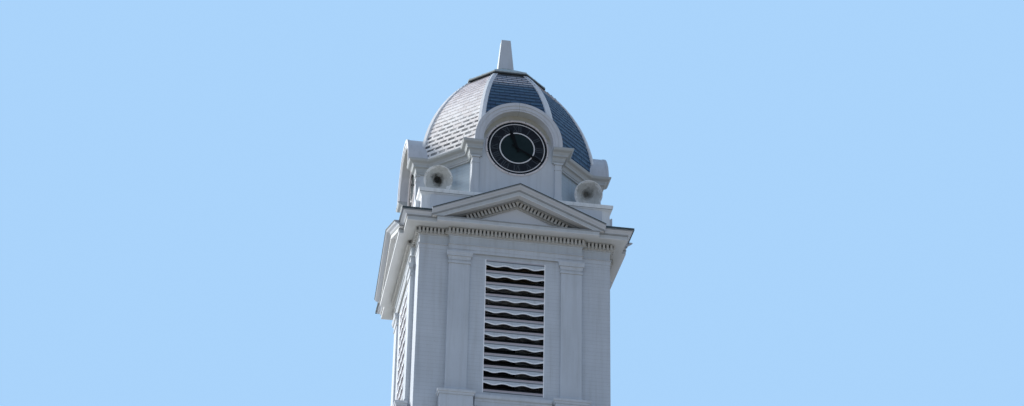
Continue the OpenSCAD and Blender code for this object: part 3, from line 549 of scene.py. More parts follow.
def sheet_metal(name, tone, shade, metallic, roughness, rust, zone=None):
    """Old sheet, clouded between a tone and a shade, with rust on some of it."""
    f = Finish(name, roughness=roughness, metallic=metallic)
    clouds = f.noise(2.6, 6.0, 0.6)
    base = f.blend(f.span(clouds, 0.32, 0.68), shade, tone)
    runs = f.noise(1.0, 6.0, 0.62, f.stretch(14.0, 14.0, 0.9), shift=2.0)
    base = f.blend(f.times(f.span(runs, 0.5, 0.72), 0.5), base, shaded(shade, 0.55))
    bloom = f.span(f.noise(11.0, 7.0, 0.7, shift=4.0), 0.6, 0.72)
    base = f.blend(f.times(bloom, rust), base, RUST)
    if zone:
        base = zone(f, base)
    f.colour(base)
    f.sheen_of(f.span(clouds, 0.3, 0.7, roughness - 0.08, roughness + 0.12))
    f.relief(f.noise(7.0, 6.0, 0.55), 0.003, 0.35)
    return f.material


print("sheet metal can be made")

# %% Zones of the horns, the lead and the cap
HORN_THROAT, HORN_TILT = Vector((1.82, 1.4706, 10.404)), math.radians(30)
THROAT_BLACK, LIP_HIGHLIGHT = (0.045, 0.042, 0.032), (0.86, 0.88, 0.90)
PALE_LEAD, BRIM_SHADOW = (0.46, 0.485, 0.50), (0.030, 0.032, 0.034)
BRIM_FOOT = 14.004


def throat_zone(f, base):
    """Soot and painted shadow in the throat, dark near the horn's axis, which tilts down and outwards, and a
    painted highlight on the lip.
    """
    x, y, z = f.axes(f.place)
    aside = f.minus(f.math("ABSOLUTE", x), HORN_THROAT.x)
    out = f.minus(f.math("ABSOLUTE", y), HORN_THROAT.y)
    up = f.minus(z, HORN_THROAT.z)
    lift = f.sum(f.times(out, math.sin(HORN_TILT)), f.times(up, math.cos(HORN_TILT)))
    forward = f.minus(f.times(out, math.cos(HORN_TILT)), f.times(up, math.sin(HORN_TILT)))
    ragged = f.times(f.minus(f.noise(7.0, 5.0, 0.6), 0.5), 0.34)
    radius = f.sum(f.hypot(aside, lift), ragged)
    share = f.times(f.span(radius, 0.17, 0.07), f.math("GREATER_THAN", forward, 0.02),
                    f.span(x, -0.1, 0.1, 0.95, 0.55))
    base = f.blend(share, base, THROAT_BLACK)
    # A painted highlight round the front of the lip.
    lip = f.times(f.span(radius, 0.300, 0.325), f.math("GREATER_THAN", forward, 0.30))
    return f.blend(f.times(lip, 0.7), base, LIP_HIGHLIGHT)


def weathered_top(f, base):
    """Lead turns pale where rain stands on it and stays dark on its folded edges."""
    return f.blend(f.span(f.facing_up(), 0.4, 0.8), base, PALE_LEAD)


def brim_zone(f, base):
    """Painted shadow on the underside and lower edge of the cap's brim."""
    low = f.span(f.axes(f.place)[2], BRIM_FOOT + 0.008, BRIM_FOOT)
    return f.blend(f.times(low, 0.9), base, BRIM_SHADOW)


cap_metal = sheet_metal("cap_metal", (0.45, 0.49, 0.485), (0.34, 0.38, 0.375), 0.15, 0.6, 0.2, brim_zone)
horn_metal = sheet_metal("horn_metal", (0.64, 0.655, 0.65), (0.46, 0.475, 0.46), 0.05, 0.55, 0.35,
                         throat_zone)
lead_sheet = sheet_metal("lead_sheet", (0.075, 0.088, 0.084), (0.045, 0.055, 0.055), 0.2, 0.6, 0.0,
                         weathered_top)
horn_strap = sheet_metal("horn_strap", (0.34, 0.34, 0.31), (0.22, 0.22, 0.20), 0.4, 0.5, 0.6)
print("cap, horn, lead and strap metals")

# %% [markdown]
# ## Paints of the dials
# A dial is black with a green tinge inside its chapter ring. Its rings are white but worn off towards
# their edges, its numerals are hardly lighter than the black, and the hands are black too. The wear
# of the rings could be modelled as thinner rings, but the distance from the dial's centre gives it.

# %% Black plate with a green centre
f = Finish("dial_black", roughness=0.6, specular=0.15)
dust = f.noise(6.0, 6.0, 0.6)
base = f.blend(f.span(dust, 0.35, 0.7), (0.006, 0.007, 0.010), (0.016, 0.014, 0.018))
centre = f.blend(f.span(dust, 0.35, 0.7), (0.005, 0.012, 0.012), (0.010, 0.019, 0.020))
base = f.blend(f.span(from_dial(f)[0], 0.40, 0.43, 1.0, 0.0), base, centre)
f.colour(base)
f.relief(dust, 0.001, 0.25)
dial_black = f.material
print("dial plate")

# %% Rings, numerals, hands, frames and rims
RING_LINES = ((0.662, 0.0085), (0.417, 0.0125))     # radius and half width of what is still white
WORN_OFF = (0.020, 0.020, 0.023)


def ring_zone(f, base):
    """The rings' white paint is worn off towards their edges."""
    radius = from_dial(f)[0]
    past = [f.minus(f.math("ABSOLUTE", f.minus(radius, middle)), half_line)
            for middle, half_line in RING_LINES]
    return f.blend(f.span(f.math("MINIMUM", *past), 0.0, 0.003), base, WORN_OFF)


def plain_paint(name, tone, worn, roughness, specular=0.4, zone=None):
    """Smooth paint on small metal pieces, worn a little in places."""
    f = Finish(name, roughness=roughness, specular=specular)
    base = f.blend(f.span(f.noise(8.0, 6.0, 0.6), 0.35, 0.7), tone, worn)
    runs = f.noise(1.0, 5.0, 0.6, f.stretch(30.0, 30.0, 3.0))
    base = f.blend(f.times(f.span(runs, 0.5, 0.75), 0.35), base, shaded(worn, 0.5))
    if zone:
        base = zone(f, base)
    f.colour(base)
    f.relief(f.noise(50.0, 6.0, 0.6), 0.0008, 0.4)
    return f.material


# The rims are painted near white, paler than the walls, as a painted highlight on the lit edge of each apron.
rim_white = plain_paint("rim_white", (0.97, 0.98, 0.98), (0.88, 0.90, 0.92), 0.5)
frame_paint = plain_paint("dial_frame_paint", (0.78, 0.745, 0.755), (0.64, 0.61, 0.62), 0.5)
hand_black = plain_paint("hand_black", (0.004, 0.005, 0.006), (0.009, 0.009, 0.010), 0.85, 0.1)
numeral_grey = plain_paint("numeral_grey", (0.030, 0.030, 0.035), (0.022, 0.023, 0.026), 0.6)
ring_white = plain_paint("ring_white", (0.74, 0.735, 0.745), (0.62, 0.615, 0.625), 0.5, zone=ring_zone)
print("five plain paints")

# %% [markdown]
# ## Slate
# Each slate gets its own shade from a random number that its node tree stores on it, called
# slate_shade. Three more numbers are stored: how far up the slate a point is, how far across, and
# whether its face of the dome is the one painted pale as a sun glint. Painted shadow, with some dirt,
# under the tails of the course above draws the dark course lines. On the glinting face they are
# strongest low down, and the painted glint turns brown towards the cap. On the other faces the tails
# of the top courses are pale. The colours could be several materials, but one finish that reads the
# stored numbers lets no two slates look the same.

# %% Slate tones
EXPOSURE, SLATE_LENGTH = 0.14, 0.30
GLINT_BROWNING, TOP_COURSES, UNDER_CAP = (12.3, 13.6), (13.28, 13.42), (13.80, 13.86)
f = Finish("slate", roughness=0.55, specular=0.35)
shade, up_slate, across, bleach = (
    f.add("ShaderNodeAttribute", attribute_name="slate_" + word).outputs["Fac"]
    for word in ("shade", "along", "across", "bleach"))
z = f.axes(f.place)[2]
cleft = f.noise(1.0, 7.0, 0.65, f.stretch(18.0, 18.0, 7.0))
base = f.blend(shade, (0.012, 0.038, 0.096), (0.038, 0.098, 0.178))
base = f.blend(f.span(cleft, 0.4, 0.7, 0.0, 0.4), base, (0.058, 0.118, 0.185))
# One face of the dome is painted pale, as a painted sun glint, browner towards the cap.
glint_tone = f.blend(shade, (0.90, 0.85, 0.82), (1.0, 0.985, 0.965))
glint_top = f.blend(shade, (0.52, 0.46, 0.47), (0.82, 0.75, 0.76))
glint_tone = f.blend(f.span(z, *GLINT_BROWNING, 0.0, 0.85), glint_tone, glint_top)
base = f.blend(f.times(bleach, f.span(cleft, 0.25, 0.5, 0.8, 1.0)), base, glint_tone)
pale_tails = f.times(f.span(z, *TOP_COURSES), f.span(up_slate, 0.24, 0.18), f.span(shade, 0.05, 0.25),
                     f.span(bleach, 0.0, 1.0, 0.9, 0.0))
base = f.blend(pale_tails, base, (0.62, 0.58, 0.60))
print("slate exposure", EXPOSURE, "m")

# %% Course lines and edges of the slates
# Course lines: painted shadow, with some dirt, under the tails of the course above, stronger low down on the
# glinting face.
TAIL, LINES_STRONGER_BELOW = EXPOSURE / SLATE_LENGTH, (12.55, 11.85)
strong = f.math("MAXIMUM", f.span(z, *LINES_STRONGER_BELOW, 0.32, 1.0), f.minus(1.0, bleach))
depth = f.times(f.sum(0.12, f.times(shade, 0.12)), strong)
clear_end = f.times(f.span(f.math("ABSOLUTE", across), 0.36, 0.44), bleach)
course_line = f.times(f.span(f.sum(f.minus(up_slate, TAIL - 0.04), depth), 0.0, 0.035),
                      f.span(f.noise(2.2, 5.0, 0.6, shift=6.0), 0.36, 0.6, 0.55, 1.0),
                      strong, f.minus(1.0, clear_end))
edge = f.times(f.span(f.math("ABSOLUTE", across), 0.45, 0.49), f.span(bleach, 0.0, 1.0, 0.6, 0.12))
line_tone = f.blend(bleach, (0.006, 0.018, 0.042), (0.012, 0.012, 0.016))
base = f.blend(f.times(f.math("MAXIMUM", course_line, edge), 0.94), base, line_tone)
# A dark band just under the cap, painted shadow of its brim.
base = f.blend(f.times(f.span(z, *UNDER_CAP), 0.85), base, (0.035, 0.032, 0.030))
f.colour(base)
f.sheen_of(f.span(cleft, 0.3, 0.7, 0.42, 0.6))
f.relief(cleft, 0.003, 0.6)
slate = f.material
print("a slate's tail shows", round(TAIL, 2), "of its length")

# %% [markdown]
# ## Dressing the solids
# A solid keeps its mesh, and only the material in its slots changes. The finishes could be set where
# each is made, but one list shows at once which node wears what, and a wrong name stops the script.

# %% Which finish goes on which node
SIDES = ("front", "right", "back", "left")
DRESS = {
    "ground_plinth": plinth_stone, "base_walls": board_paint, "string_course": trim_paint,
    "pedestals": trim_paint, "sill_courses": trim_paint, "belfry_pilasters": trim_paint,
    "belfry_floor": floor_softwood, "clock_room_floor": floor_softwood, "architrave": trim_paint,
    "frieze": sheet_paint, "dentil_course": dentil_paint, "main_cornice": cornice_paint,
    "pediments": pediment_paint, "attic_plinth": attic_paint, "drum_walls": drum_paint,
    "stage_entablature": entablature_paint, "dormer_hoods": hood_paint, "dial_plates": dial_black,
    "dial_frames": frame_paint, "dial_rings": ring_white, "dial_arbors": hand_black,
    "slate_dome": slate, "dome_ribs": rib_paint, "dome_cap": cap_metal, "finial": trim_paint,
    "roof_horns": horn_metal,
}
for side in SIDES:
    DRESS[side + "_belfry_wall"] = board_paint
    DRESS[side + "_clock_wall"] = arch_paint
    DRESS[side + "_louvres"] = louvre_paint
    DRESS[side + "_minute_hand"] = hand_black
    DRESS[side + "_hour_hand"] = hand_black
for name, finish in DRESS.items():
    for slot in nodes[name].material_slots:
        slot.material = finish
print("dressed", len(DRESS), "of", len(nodes), "nodes")

# %% [markdown]
# ## A shorthand for Geometry Nodes
# What repeats or follows a rule is made by a node tree. Named inputs hold the sizes. At the end the
# tree realizes its instances and sets the material, the modifier's inputs are set by their
# identifiers, and the result is taken as one plain mesh. An Array modifier could repeat a piece too,
# but not one that changes from place to place.

# %% The Recipe class


class Recipe(NodeNet):
    """A Geometry Nodes tree under construction."""

    KINDS = {float: "NodeSocketFloat", int: "NodeSocketInt", bpy.types.Material: "NodeSocketMaterial"}

    def __init__(self, title, **sizes):
        super().__init__(bpy.data.node_groups.new(title, "GeometryNodeTree"))
        self.tree.interface.new_socket("Geometry", in_out="OUTPUT", socket_type="NodeSocketGeometry")
        entry = self.tree.nodes.new("NodeGroupInput")
        self.values = {}
        for name, value in sizes.items():
            kind = self.KINDS[type(value)]
            item = self.tree.interface.new_socket(name.replace("_", " "), in_out="INPUT", socket_type=kind)
            self.values[item.identifier] = value
        self.inlet = {name: entry.outputs[name.replace("_", " ")] for name in sizes}

    def index(self):
        return self.get("GeometryNodeInputIndex")

    def split(self, number, count):
        """Which group of so many a running number is in, and its order in that group."""
        group = self.math("FLOOR", self.math("DIVIDE", self.sum(number, 0.5), count))
        return group, self.minus(number, self.times(group, count))

    def on_sides(self, per_side):
        """A piece's order on its side of the tower, and the turn of that side."""
        side, order = self.split(self.index(), per_side)
        return order, self.times(side, math.pi / 2)

    def vector(self, x, y, z):
        return self.get("ShaderNodeCombineXYZ", {0: x, 1: y, 2: z})

    def around(self, along, out, turn, height):
        """A place on a wall: along it, out from the tower's axis, turned to its side."""
        sine, cosine = self.math("SINE", turn), self.math("COSINE", turn)
        return self.vector(self.sum(self.times(along, cosine), self.times(out, sine)),
                           self.minus(self.times(along, sine), self.times(out, cosine)), height)

    def store(self, geometry, name, value, domain="POINT"):
        node = self.add("GeometryNodeStoreNamedAttribute", {"Geometry": geometry, "Name": name},
                        data_type="FLOAT", domain=domain)
        self.tree.links.new(value, node.inputs["Value"])
        return node.outputs[0]

    def stored(self, name):
        return self.get("GeometryNodeInputNamedAttribute", {"Name": name}, data_type="FLOAT")

    def random(self, low, high, seed, salt):
        node = self.add("FunctionNodeRandomValue", {"Seed": self.sum(seed, salt)}, data_type="FLOAT")
        node.inputs[2].default_value = low
        node.inputs[3].default_value = high
        return node.outputs[1]

    def points(self, count, place, **notes):
        """Points at their places, each with named numbers on it."""
        cloud = self.get("GeometryNodePoints", {"Count": count, "Position": place, "Radius": 0.01})
        for name, value in notes.items():
            cloud = self.store(cloud, name, value)
        return cloud

    def set_on(self, cloud, thing, spin, size=(1, 1, 1)):
        inputs = {"Points": cloud, "Instance": thing, "Rotation": spin, "Scale": size}
        return self.get("GeometryNodeInstanceOnPoints", inputs)

    def make(self, geometry, name, slot):
        """Ends the tree, takes its result as a plain mesh and lets it ride on the tower."""
        real = self.get("GeometryNodeRealizeInstances", {0: geometry})
        done = self.get("GeometryNodeSetMaterial", {"Geometry": real, "Material": self.inlet["Finish"]})
        self.tree.links.new(done, self.tree.nodes.new("NodeGroupOutput").inputs[0])
        piece = bpy.data.objects.new(name, bpy.data.meshes.new(name))
        bpy.context.scene.collection.objects.link(piece)
        modifier = piece.modifiers.new("recipe", "NODES")
        modifier.node_group = self.tree
        for identifier, value in self.values.items():
            modifier[identifier] = value
        graph = bpy.context.evaluated_depsgraph_get()
        mesh = bpy.data.meshes.new_from_object(piece.evaluated_get(graph))
        piece.modifiers.remove(modifier)
        piece.data = mesh
        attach(piece, "tower")
        print(name, len(mesh.polygons), "faces")


print("recipes can be made")

# %% [markdown]
# ## Slates on the dome
# The dome is an octagon whose faces curve upwards on one radius. Slates of one size are laid in
# half bond, each course 140 mm above the last, with the tail of each slate lifted by the one below.
# They could be modelled one by one or by an array, but each slate has to stop at the hip and at the
# hoods, so the node tree works out every slate's place, cuts its width to the hip, and drops those
# that a hood covers.

# %% Where each slate lies
DOME_FACES = 8
HALF_FACE = math.pi / DOME_FACES
NARROWEST = 0.03
r = Recipe("slate_courses", Radius=4.2, Offset=-2.072, Foot=11.0, First_angle=0.0098,
           Courses=24, Columns=9, Width=0.25, Exposure=EXPOSURE, Length=SLATE_LENGTH, Thickness=0.012,
           Joint=0.007, Lift=0.024, Tilt=0.078, Hood_radius=1.013, Hood_height=11.10, Seed=11, Finish=slate)
i = r.inlet
per_face = r.times(i["Courses"], i["Columns"])
face, rest = r.split(r.index(), per_face)
row, column = r.split(rest, i["Columns"])
angle = r.sum(i["First_angle"], r.times(row, r.math("DIVIDE", i["Exposure"], i["Radius"])))
reach = r.sum(i["Offset"], r.times(i["Radius"], r.math("COSINE", angle)))
height = r.sum(i["Foot"], r.times(i["Radius"], r.math("SINE", angle)))
hip = r.times(reach, math.tan(HALF_FACE))
bond = r.times(r.math("MODULO", row, 2.0), 0.5)
middle = r.times(r.minus(r.sum(column, bond), r.times(i["Columns"], 0.5)), i["Width"])
half = r.times(r.minus(i["Width"], i["Joint"]), 0.5)
left_end = r.math("MAXIMUM", r.minus(middle, half), r.times(hip, -1.0))
right_end = r.math("MINIMUM", r.sum(middle, half), hip)
centre = r.times(r.sum(left_end, right_end), 0.5)
wide = r.minus(right_end, left_end)
from_hood = r.hypot(centre, r.math("MAXIMUM", r.minus(height, i["Hood_height"]), 0.0))
has_hood = r.math("LESS_THAN", r.math("MODULO", face, 2.0), 0.5)
in_hood = r.times(r.math("LESS_THAN", from_hood, i["Hood_radius"]), has_hood)
gone = r.math("MAXIMUM", in_hood, r.math("LESS_THAN", wide, NARROWEST))
turn = r.times(face, 2 * HALF_FACE)
out = r.sum(reach, r.times(i["Lift"], r.math("COSINE", angle)))
place = r.around(centre, out, turn, r.sum(height, r.times(i["Lift"], r.math("SINE", angle))))
print("slates have their places")

# %% One slate, laid on every place
# The face whose slates are painted pale as a sun glint.
GLINTING_FACE = 7.0     # the front left one, counted from the front by way of the right
cloud = r.points(r.times(per_face, DOME_FACES), place, slate_gone=gone, slate_wide=wide, slate_angle=angle,
                 slate_turn=turn, slate_bleach=r.math("COMPARE", face, GLINTING_FACE, 0.1))
doomed = r.math("GREATER_THAN", r.stored("slate_gone"), 0.5)
cloud = r.get("GeometryNodeDeleteGeometry", {"Geometry": cloud, "Selection": doomed}, domain="POINT")
cube = r.get("GeometryNodeMeshCube", {"Size": (1, 1, 1), "Vertices X": 3, "Vertices Y": 3})
spot = r.axes(r.get("GeometryNodeInputPosition"))
cube = r.store(cube, "slate_across", spot[0])
cube = r.store(cube, "slate_along", r.sum(spot[1], 0.5))
cube = r.get("GeometryNodeTransform", {"Geometry": cube, "Translation": (0, 0.5, 0.5)})
pitch = r.sum(r.minus(r.minus(math.pi / 2, r.stored("slate_angle")), i["Tilt"]),
              r.random(-0.012, 0.016, i["Seed"], 1))
spin = r.vector(pitch, r.random(-0.016, 0.016, i["Seed"], 2), r.stored("slate_turn"))
long = r.sum(i["Length"], r.random(-0.006, 0.004, i["Seed"], 3))
laid = r.set_on(cloud, cube, spin, r.vector(r.stored("slate_wide"), long, i["Thickness"]))
laid = r.store(laid, "slate_shade", r.random(0.0, 1.0, i["Seed"], 4), "INSTANCE")
r.make(laid, "dome_slates", "slate")

# %% [markdown]
# ## Numerals and minute marks
# The chapter ring carries Roman numerals that are hardly lighter than the black behind them. Text
# would need a font, and the strokes of I, V and X are simple, so each numeral is a list of bars with
# small serifs. The minute marks are sixty bars on a circle, which a node tree places.

# %% A flat bar, and a mesh from points


def bar(verts, faces, place, start, end, width, rise):
    """A flat bar from start to end, given in the numeral's own plane; place() puts a point on the dial."""
    along = Vector(end) - Vector(start)
    side = Vector((along.y, -along.x)).normalized() * width / 2
    corners = [Vector(start) - side, Vector(start) + side, Vector(end) + side, Vector(end) - side]
    first = len(verts)
    verts.extend([place(c.x, c.y, 0.0) for c in corners])
    verts.extend([place(c.x, c.y, rise) for c in corners])
    faces.extend([tuple(first + k for k in q) for q in
                  ((4, 5, 6, 7), (3, 2, 1, 0), (0, 1, 5, 4), (1, 2, 6, 5), (2, 3, 7, 6), (3, 0, 4, 7))])


def numeral_points(side, hour):
    """Puts a point (across, up, out of the dial) of a numeral where that hour is on that side."""
    turn = Matrix.Rotation(math.radians(90 * side), 4, "Z")
    lean = Matrix.Rotation(math.radians(30 * hour), 4, "Y")

    def place(u, v, w):
        return turn @ (lean @ Vector((u, -DIAL_PLANE - w, v)) + Vector((0, 0, DIAL_HEIGHT)))
    return place


def mesh_piece(name, verts, faces, finish):
    """A piece from plain points and faces, which rides on the tower."""
    mesh = bpy.data.meshes.new(name)
    mesh.from_pydata([tuple(v) for v in verts], [], faces)
    mesh.materials.append(finish)
    piece = bpy.data.objects.new(name, mesh)
    bpy.context.scene.collection.objects.link(piece)
    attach(piece, "tower")
    print(name, len(faces), "faces")
    return piece


print("bars stand on the dials at", DIAL_PLANE, "m from the axis")

# %% Numerals from bars
THICK, THIN, SERIF = 0.17, 0.08, 0.07               # shares of a numeral's height, as in GLYPHS
GLYPHS = {"I": [((0, 0), (0, 1), THICK)],
          "V": [((-0.30, 1), (0, 0), THICK), ((0.30, 1), (0, 0), THIN)],
          "X": [((-0.30, 1), (0.30, 0), THICK), ((0.30, 1), (-0.30, 0), THIN)]}
WIDTHS = {"I": 0.34, "V": 0.78, "X": 0.78}
HOURS = ["XII", "I", "II", "III", "IIII", "V", "VI", "VII", "VIII", "IX", "X", "XI"]
NUMERAL_HEIGHT, NUMERAL_FOOT, NUMERAL_RISE = 0.150, 0.466, 0.004
verts, faces = [], []
h = NUMERAL_HEIGHT
for side in range(len(SIDES)):
    for hour, letters in enumerate(HOURS):
        put = numeral_points(side, hour)
        half_width = sum(WIDTHS[c] for c in letters) * h * 0.5
        cursor = -half_width
        for letter in letters:
            mid = cursor + WIDTHS[letter] * h / 2
            for start, end, width in GLYPHS[letter]:
                a = (mid + start[0] * h, NUMERAL_FOOT + start[1] * h)
                b = (mid + end[0] * h, NUMERAL_FOOT + end[1] * h)
                bar(verts, faces, put, a, b, width * h, NUMERAL_RISE)
            cursor += WIDTHS[letter] * h
        for v in (NUMERAL_FOOT, NUMERAL_FOOT + h):
            bar(verts, faces, put, (-half_width, v), (half_width, v), SERIF * h, NUMERAL_RISE * 0.9)
mesh_piece("dial_numerals", verts, faces, numeral_grey)

# %% Minute marks on four circles


def on_dials(r, per_dial, first=0.0):
    """Pieces on a circle round each dial: the turn of their side, their angle and their place."""
    order, turn = r.on_sides(per_dial)
    angle = r.times(r.sum(order, first), r.math("DIVIDE", 2 * math.pi, per_dial))
    along = r.times(r.inlet["Radius"], r.math("SINE", angle))
    up = r.times(r.inlet["Radius"], r.math("COSINE", angle))
    return turn, angle, r.around(along, r.inlet["Plane"], turn, r.sum(r.inlet["Height"], up))


r = Recipe("minute_marks", Radius=0.701, Plane=DIAL_PLANE, Height=DIAL_HEIGHT, Marks=60, Length=0.030,
           Mark_width=0.009, Rise=0.004, Finish=numeral_grey)
i = r.inlet
turn, angle, place = on_dials(r, i["Marks"])
cloud = r.points(r.times(i["Marks"], len(SIDES)), place, mark_angle=angle, mark_turn=turn)
size = r.vector(i["Mark_width"], r.times(i["Rise"], 2.0), i["Length"])
mark = r.get("GeometryNodeMeshCube", {"Size": size})
spin = r.vector(0.0, r.stored("mark_angle"), r.stored("mark_turn"))
r.make(r.set_on(cloud, mark, spin), "minute_marks", "dial_black")

# %% [markdown]
# ## Scalloped rims on the louvre aprons
# A white bead runs along the scalloped foot of every apron and catches the light, so the louvres read
# as a row of bright waves. A curve with a bevel would give a round bead, but these are flat strips with
# a deeper wave than the board behind them. The tree bends one finely divided bar by a cosine and then
# puts it on eleven heights of four walls, where the topmost hangs on the valance.

# %% Rims by rule
r = Recipe("apron_rims", Width=LOUVRE_WIDTH - 0.004, Wave=0.021, Rim_height=0.029, Rim_depth=0.010,
           Face=2.3076, Foot=4.4437, Pitch=LOUVRE_PITCH, Valance=7.7508, Rows=11, Finish=rim_white)
i = r.inlet
size = r.vector(i["Width"], i["Rim_depth"], i["Rim_height"])
strip = r.get("GeometryNodeMeshCube", {"Size": size, "Vertices X": 49})
spot = r.axes(r.get("GeometryNodeInputPosition"))
phase = r.math("DIVIDE", r.times(spot[0], 6 * math.pi), i["Width"])
drop = r.vector(0.0, 0.0, r.times(r.math("COSINE", phase), i["Wave"], -1.0))
strip = r.get("GeometryNodeSetPosition", {"Geometry": strip, "Offset": drop})
row, turn = r.on_sides(i["Rows"])
regular = r.sum(i["Foot"], r.times(r.sum(row, 1.0), i["Pitch"]))
last = r.math("GREATER_THAN", row, r.minus(i["Rows"], 1.5))
height = r.sum(r.times(regular, r.minus(1.0, last)), r.times(i["Valance"], last))
cloud = r.points(r.times(i["Rows"], len(SIDES)), r.around(0.0, i["Face"], turn, height), rim_turn=turn)
r.make(r.set_on(cloud, strip, r.vector(0.0, 0.0, r.stored("rim_turn"))), "apron_rims", "louvre_paint")

# %% [markdown]
# ## Seams of the frieze and of the cap
# The frieze is boxed in with sheet metal whose upright welts stand a few millimetres proud. The cap's
# sheets meet in rolled seams along its eight hips and in the middle of each face. Both could be drawn
# as bump, but a welt throws a real shadow, so node trees lay them as thin bars.

# %% Upright welts on the frieze
r = Recipe("frieze_welts", Face=2.3555, Foot=8.206, Top=8.384, First=-1.41, Spacing=0.65, Welt_width=0.013,
           Proud=0.007, Welts=5, Finish=sheet_paint)
i = r.inlet
order, turn = r.on_sides(i["Welts"])
along = r.sum(i["First"], r.times(order, i["Spacing"]))
place = r.around(along, i["Face"], turn, r.times(r.sum(i["Foot"], i["Top"]), 0.5))
cloud = r.points(r.times(i["Welts"], len(SIDES)), place, welt_turn=turn)
size = r.vector(i["Welt_width"], i["Proud"], r.minus(i["Top"], i["Foot"]))
welt = r.get("GeometryNodeMeshCube", {"Size": size})
r.make(r.set_on(cloud, welt, r.vector(0.0, 0.0, r.stored("welt_turn"))), "frieze_welts", "frieze_sheet")

# %% Rolled seams on the cap
CAP_FACE = 0.963
for title, low, high, first_turn in (("cap_hip_rolls", CAP_FACE / math.cos(HALF_FACE), 0.249, HALF_FACE),
                                     ("cap_face_rolls", CAP_FACE, 0.230, 0.0)):
    r = Recipe(title, Low_reach=low, High_reach=high, Foot=14.060, Top=14.590, Roll_radius=0.009,
               Rolls=DOME_FACES, First_turn=first_turn, Finish=cap_metal)
    i = r.inlet
    ends = {"Start": r.vector(0.0, r.times(i["Low_reach"], -1.0), i["Foot"]),
            "End": r.vector(0.0, r.times(i["High_reach"], -1.0), i["Top"])}
    line = r.get("GeometryNodeCurvePrimitiveLine", ends)
    ring = r.get("GeometryNodeCurvePrimitiveCircle", {"Resolution": 8, "Radius": i["Roll_radius"]})
    roll = r.get("GeometryNodeCurveToMesh", {"Curve": line, "Profile Curve": ring, "Fill Caps": True})
    angle = r.sum(i["First_turn"], r.times(r.index(), r.math("DIVIDE", 2 * math.pi, i["Rolls"])))
    cloud = r.points(i["Rolls"], (0, 0, 0), roll_turn=angle)
    r.make(r.set_on(cloud, roll, r.vector(0.0, 0.0, r.stored("roll_turn"))), title, "cap_metal")

# %% [markdown]
# ## Lead flashing
# Sheet lead is dressed over the cornice where rain would stand on it, and over the tops of the raking
# cornices. From below only its dark folded edge shows. Each sheet is one cross-section that is carried
# past a mitre, so a short function joins rings of the same section, and no modifier is needed.

# %% A skin through rings


def swept(rings):
    """A closed skin through rings of points, with both ends capped."""
    size = len(rings[0])
    verts = [p for ring in rings for p in ring]
    faces = []
    for k in range(len(rings) - 1):
        for j in range(size):
            a, b = k * size + j, k * size + (j + 1) % size
            faces.append((a, b, b + size, a + size))
    faces.append(tuple(reversed(range(size))))
    faces.append(tuple(range(len(verts) - size, len(verts))))
    return verts, faces


def gather(name, parts, finish):
    """Joins several skins in one mesh and turns all their faces outwards."""
    verts, faces = [], []
    for some_verts, some_faces in parts:
        faces.extend(tuple(len(verts) + k for k in face) for face in some_faces)
        verts.extend(some_verts)
    piece = mesh_piece(name, verts, faces, finish)
    skin = bmesh.new()
    skin.from_mesh(piece.data)
    bmesh.ops.recalc_face_normals(skin, faces=skin.faces)
    skin.to_mesh(piece.data)
    skin.free()


print("skins can be swept and gathered")

# %% Lead over the cornice corners and the rakes
LEAD, CORNER_LIP, RAKE_LIP = 0.0045, 0.050, 0.020
CROWN_FACE, CORNER_BACK = 2.734, 2.256
RAKE_FACE, RAKE_BACK = 2.839, 2.330
CORNER_END = RAKE_END + 0.003
RAKE_LINE = ((-RAKE_END, CORNICE_TOP), (0, RAKE_APEX), (RAKE_END, CORNICE_TOP))


def edge_section(face, top, lip, back):
    """Flat and folded edge of a lead sheet, as (distance from axis, height)."""
    return [(back, top + 0.001), (face + 0.001, top + 0.001), (face + 0.001, top - lip),
            (face + LEAD, top - lip - 0.002), (face + LEAD, top + LEAD), (back, top + LEAD)]


corner_parts, rake_parts = [], []
corner = edge_section(CROWN_FACE, CORNICE_TOP, CORNER_LIP, CORNER_BACK)
rake = edge_section(RAKE_FACE, 0.0, RAKE_LIP, RAKE_BACK)
for side in range(len(SIDES)):
    spin = Matrix.Rotation(math.radians(90 * side), 4, "Z")
    corner_parts.append(swept([[spin @ Vector((CORNER_END, -d, z)) for d, z in corner],
                               [spin @ Vector((d, -d, z)) for d, z in corner],
                               [spin @ Vector((d, -CORNER_END, z)) for d, z in corner]]))
    rake_parts.append(swept([[spin @ Vector((along, -d, top + h)) for d, h in rake]
                             for along, top in RAKE_LINE]))
gather("cornice_lead", corner_parts, lead_sheet)
gather("rake_lead", rake_parts, lead_sheet)

# %% [markdown]
# ## Screws in the dial frames
# Each dial is held by a ring of screws through its frame. A real screw has a slot and a thread, but
# here only the head would show. So one screw is a low cylinder of ten sides, which is round enough at
# this size, and the tree sets twelve of them on each of the four dials.

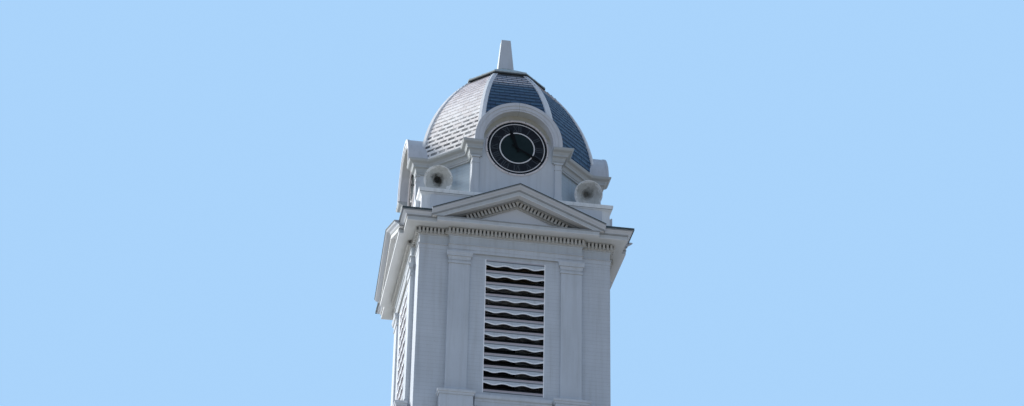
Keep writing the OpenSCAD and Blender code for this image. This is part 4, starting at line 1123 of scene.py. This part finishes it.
# %% Screws by rule
r = Recipe("frame_screws", Radius=0.750, Plane=2.259, Height=DIAL_HEIGHT, Screws=12, Head_radius=0.010,
           Head=0.007, Finish=lead_sheet)
i = r.inlet
turn, _, place = on_dials(r, i["Screws"], first=0.5)
cloud = r.points(r.times(i["Screws"], len(SIDES)), place, screw_turn=turn)
head = r.get("GeometryNodeMeshCylinder", {"Vertices": 10, "Radius": i["Head_radius"], "Depth": i["Head"]})
spin = r.vector(math.pi / 2, 0.0, r.stored("screw_turn"))
r.make(r.set_on(cloud, head, spin), "frame_screws", "cap_metal")

# %% [markdown]
# ## Fittings of the horns
# Each horn's driver is gripped by a broad strap and a narrow band, and a bead stiffens the bell past
# its middle. A Screw modifier could turn a section round a tilted helper object. A short function does
# it in the mesh itself instead: it turns a small rectangle about the horn's axis and places it on all
# four horns.

# %% Straps, bands and beads
BELL_NECK, BELL_FLARE, BELL_CURVE, BELL_LENGTH = 0.040, 0.295, 2.2, 0.41
BEAD_SHARE = 0.62
bead = BELL_NECK + BELL_FLARE * BEAD_SHARE ** BELL_CURVE
bead_middle = BELL_LENGTH * BEAD_SHARE
# inner and outer radius, and start and end along the horn's axis
HORN_RINGS = ((0.0695, 0.0755, -0.100, -0.065),
              (0.0695, 0.0740, -0.048, -0.036),
              (bead - 0.006, bead + 0.008, bead_middle - 0.006, bead_middle + 0.006))


def revolved(inner, outer, start, end, place, steps=40):
    """A ring of rectangular section round the horn's axis, from start to end along it."""
    section = [(inner, start), (outer, start), (outer, end), (inner, end)]
    verts = [place(r0, 2 * math.pi * k / steps, s0) for k in range(steps) for r0, s0 in section]
    faces = []
    for k in range(steps):
        for j in range(4):
            a, b = 4 * k + j, 4 * k + (j + 1) % 4
            c, d = 4 * ((k + 1) % steps) + (j + 1) % 4, 4 * ((k + 1) % steps) + j
            faces.append((a, b, c, d))
    return verts, faces


def horn_place(sx, sy):
    """Puts (radius, angle, distance along the axis) of a horn where that horn stands."""
    def place(radius, angle, along_axis):
        aside, lift = radius * math.cos(angle), radius * math.sin(angle)
        out = along_axis * math.cos(HORN_TILT) + lift * math.sin(HORN_TILT)
        up = -along_axis * math.sin(HORN_TILT) + lift * math.cos(HORN_TILT)
        return Vector((sx * (HORN_THROAT.x + aside), sy * (HORN_THROAT.y + out), HORN_THROAT.z + up))
    return place


fittings = [revolved(*ring, horn_place(sx, sy)) for sx in (-1, 1) for sy in (-1, 1) for ring in HORN_RINGS]
gather("horn_fittings", fittings, horn_strap)
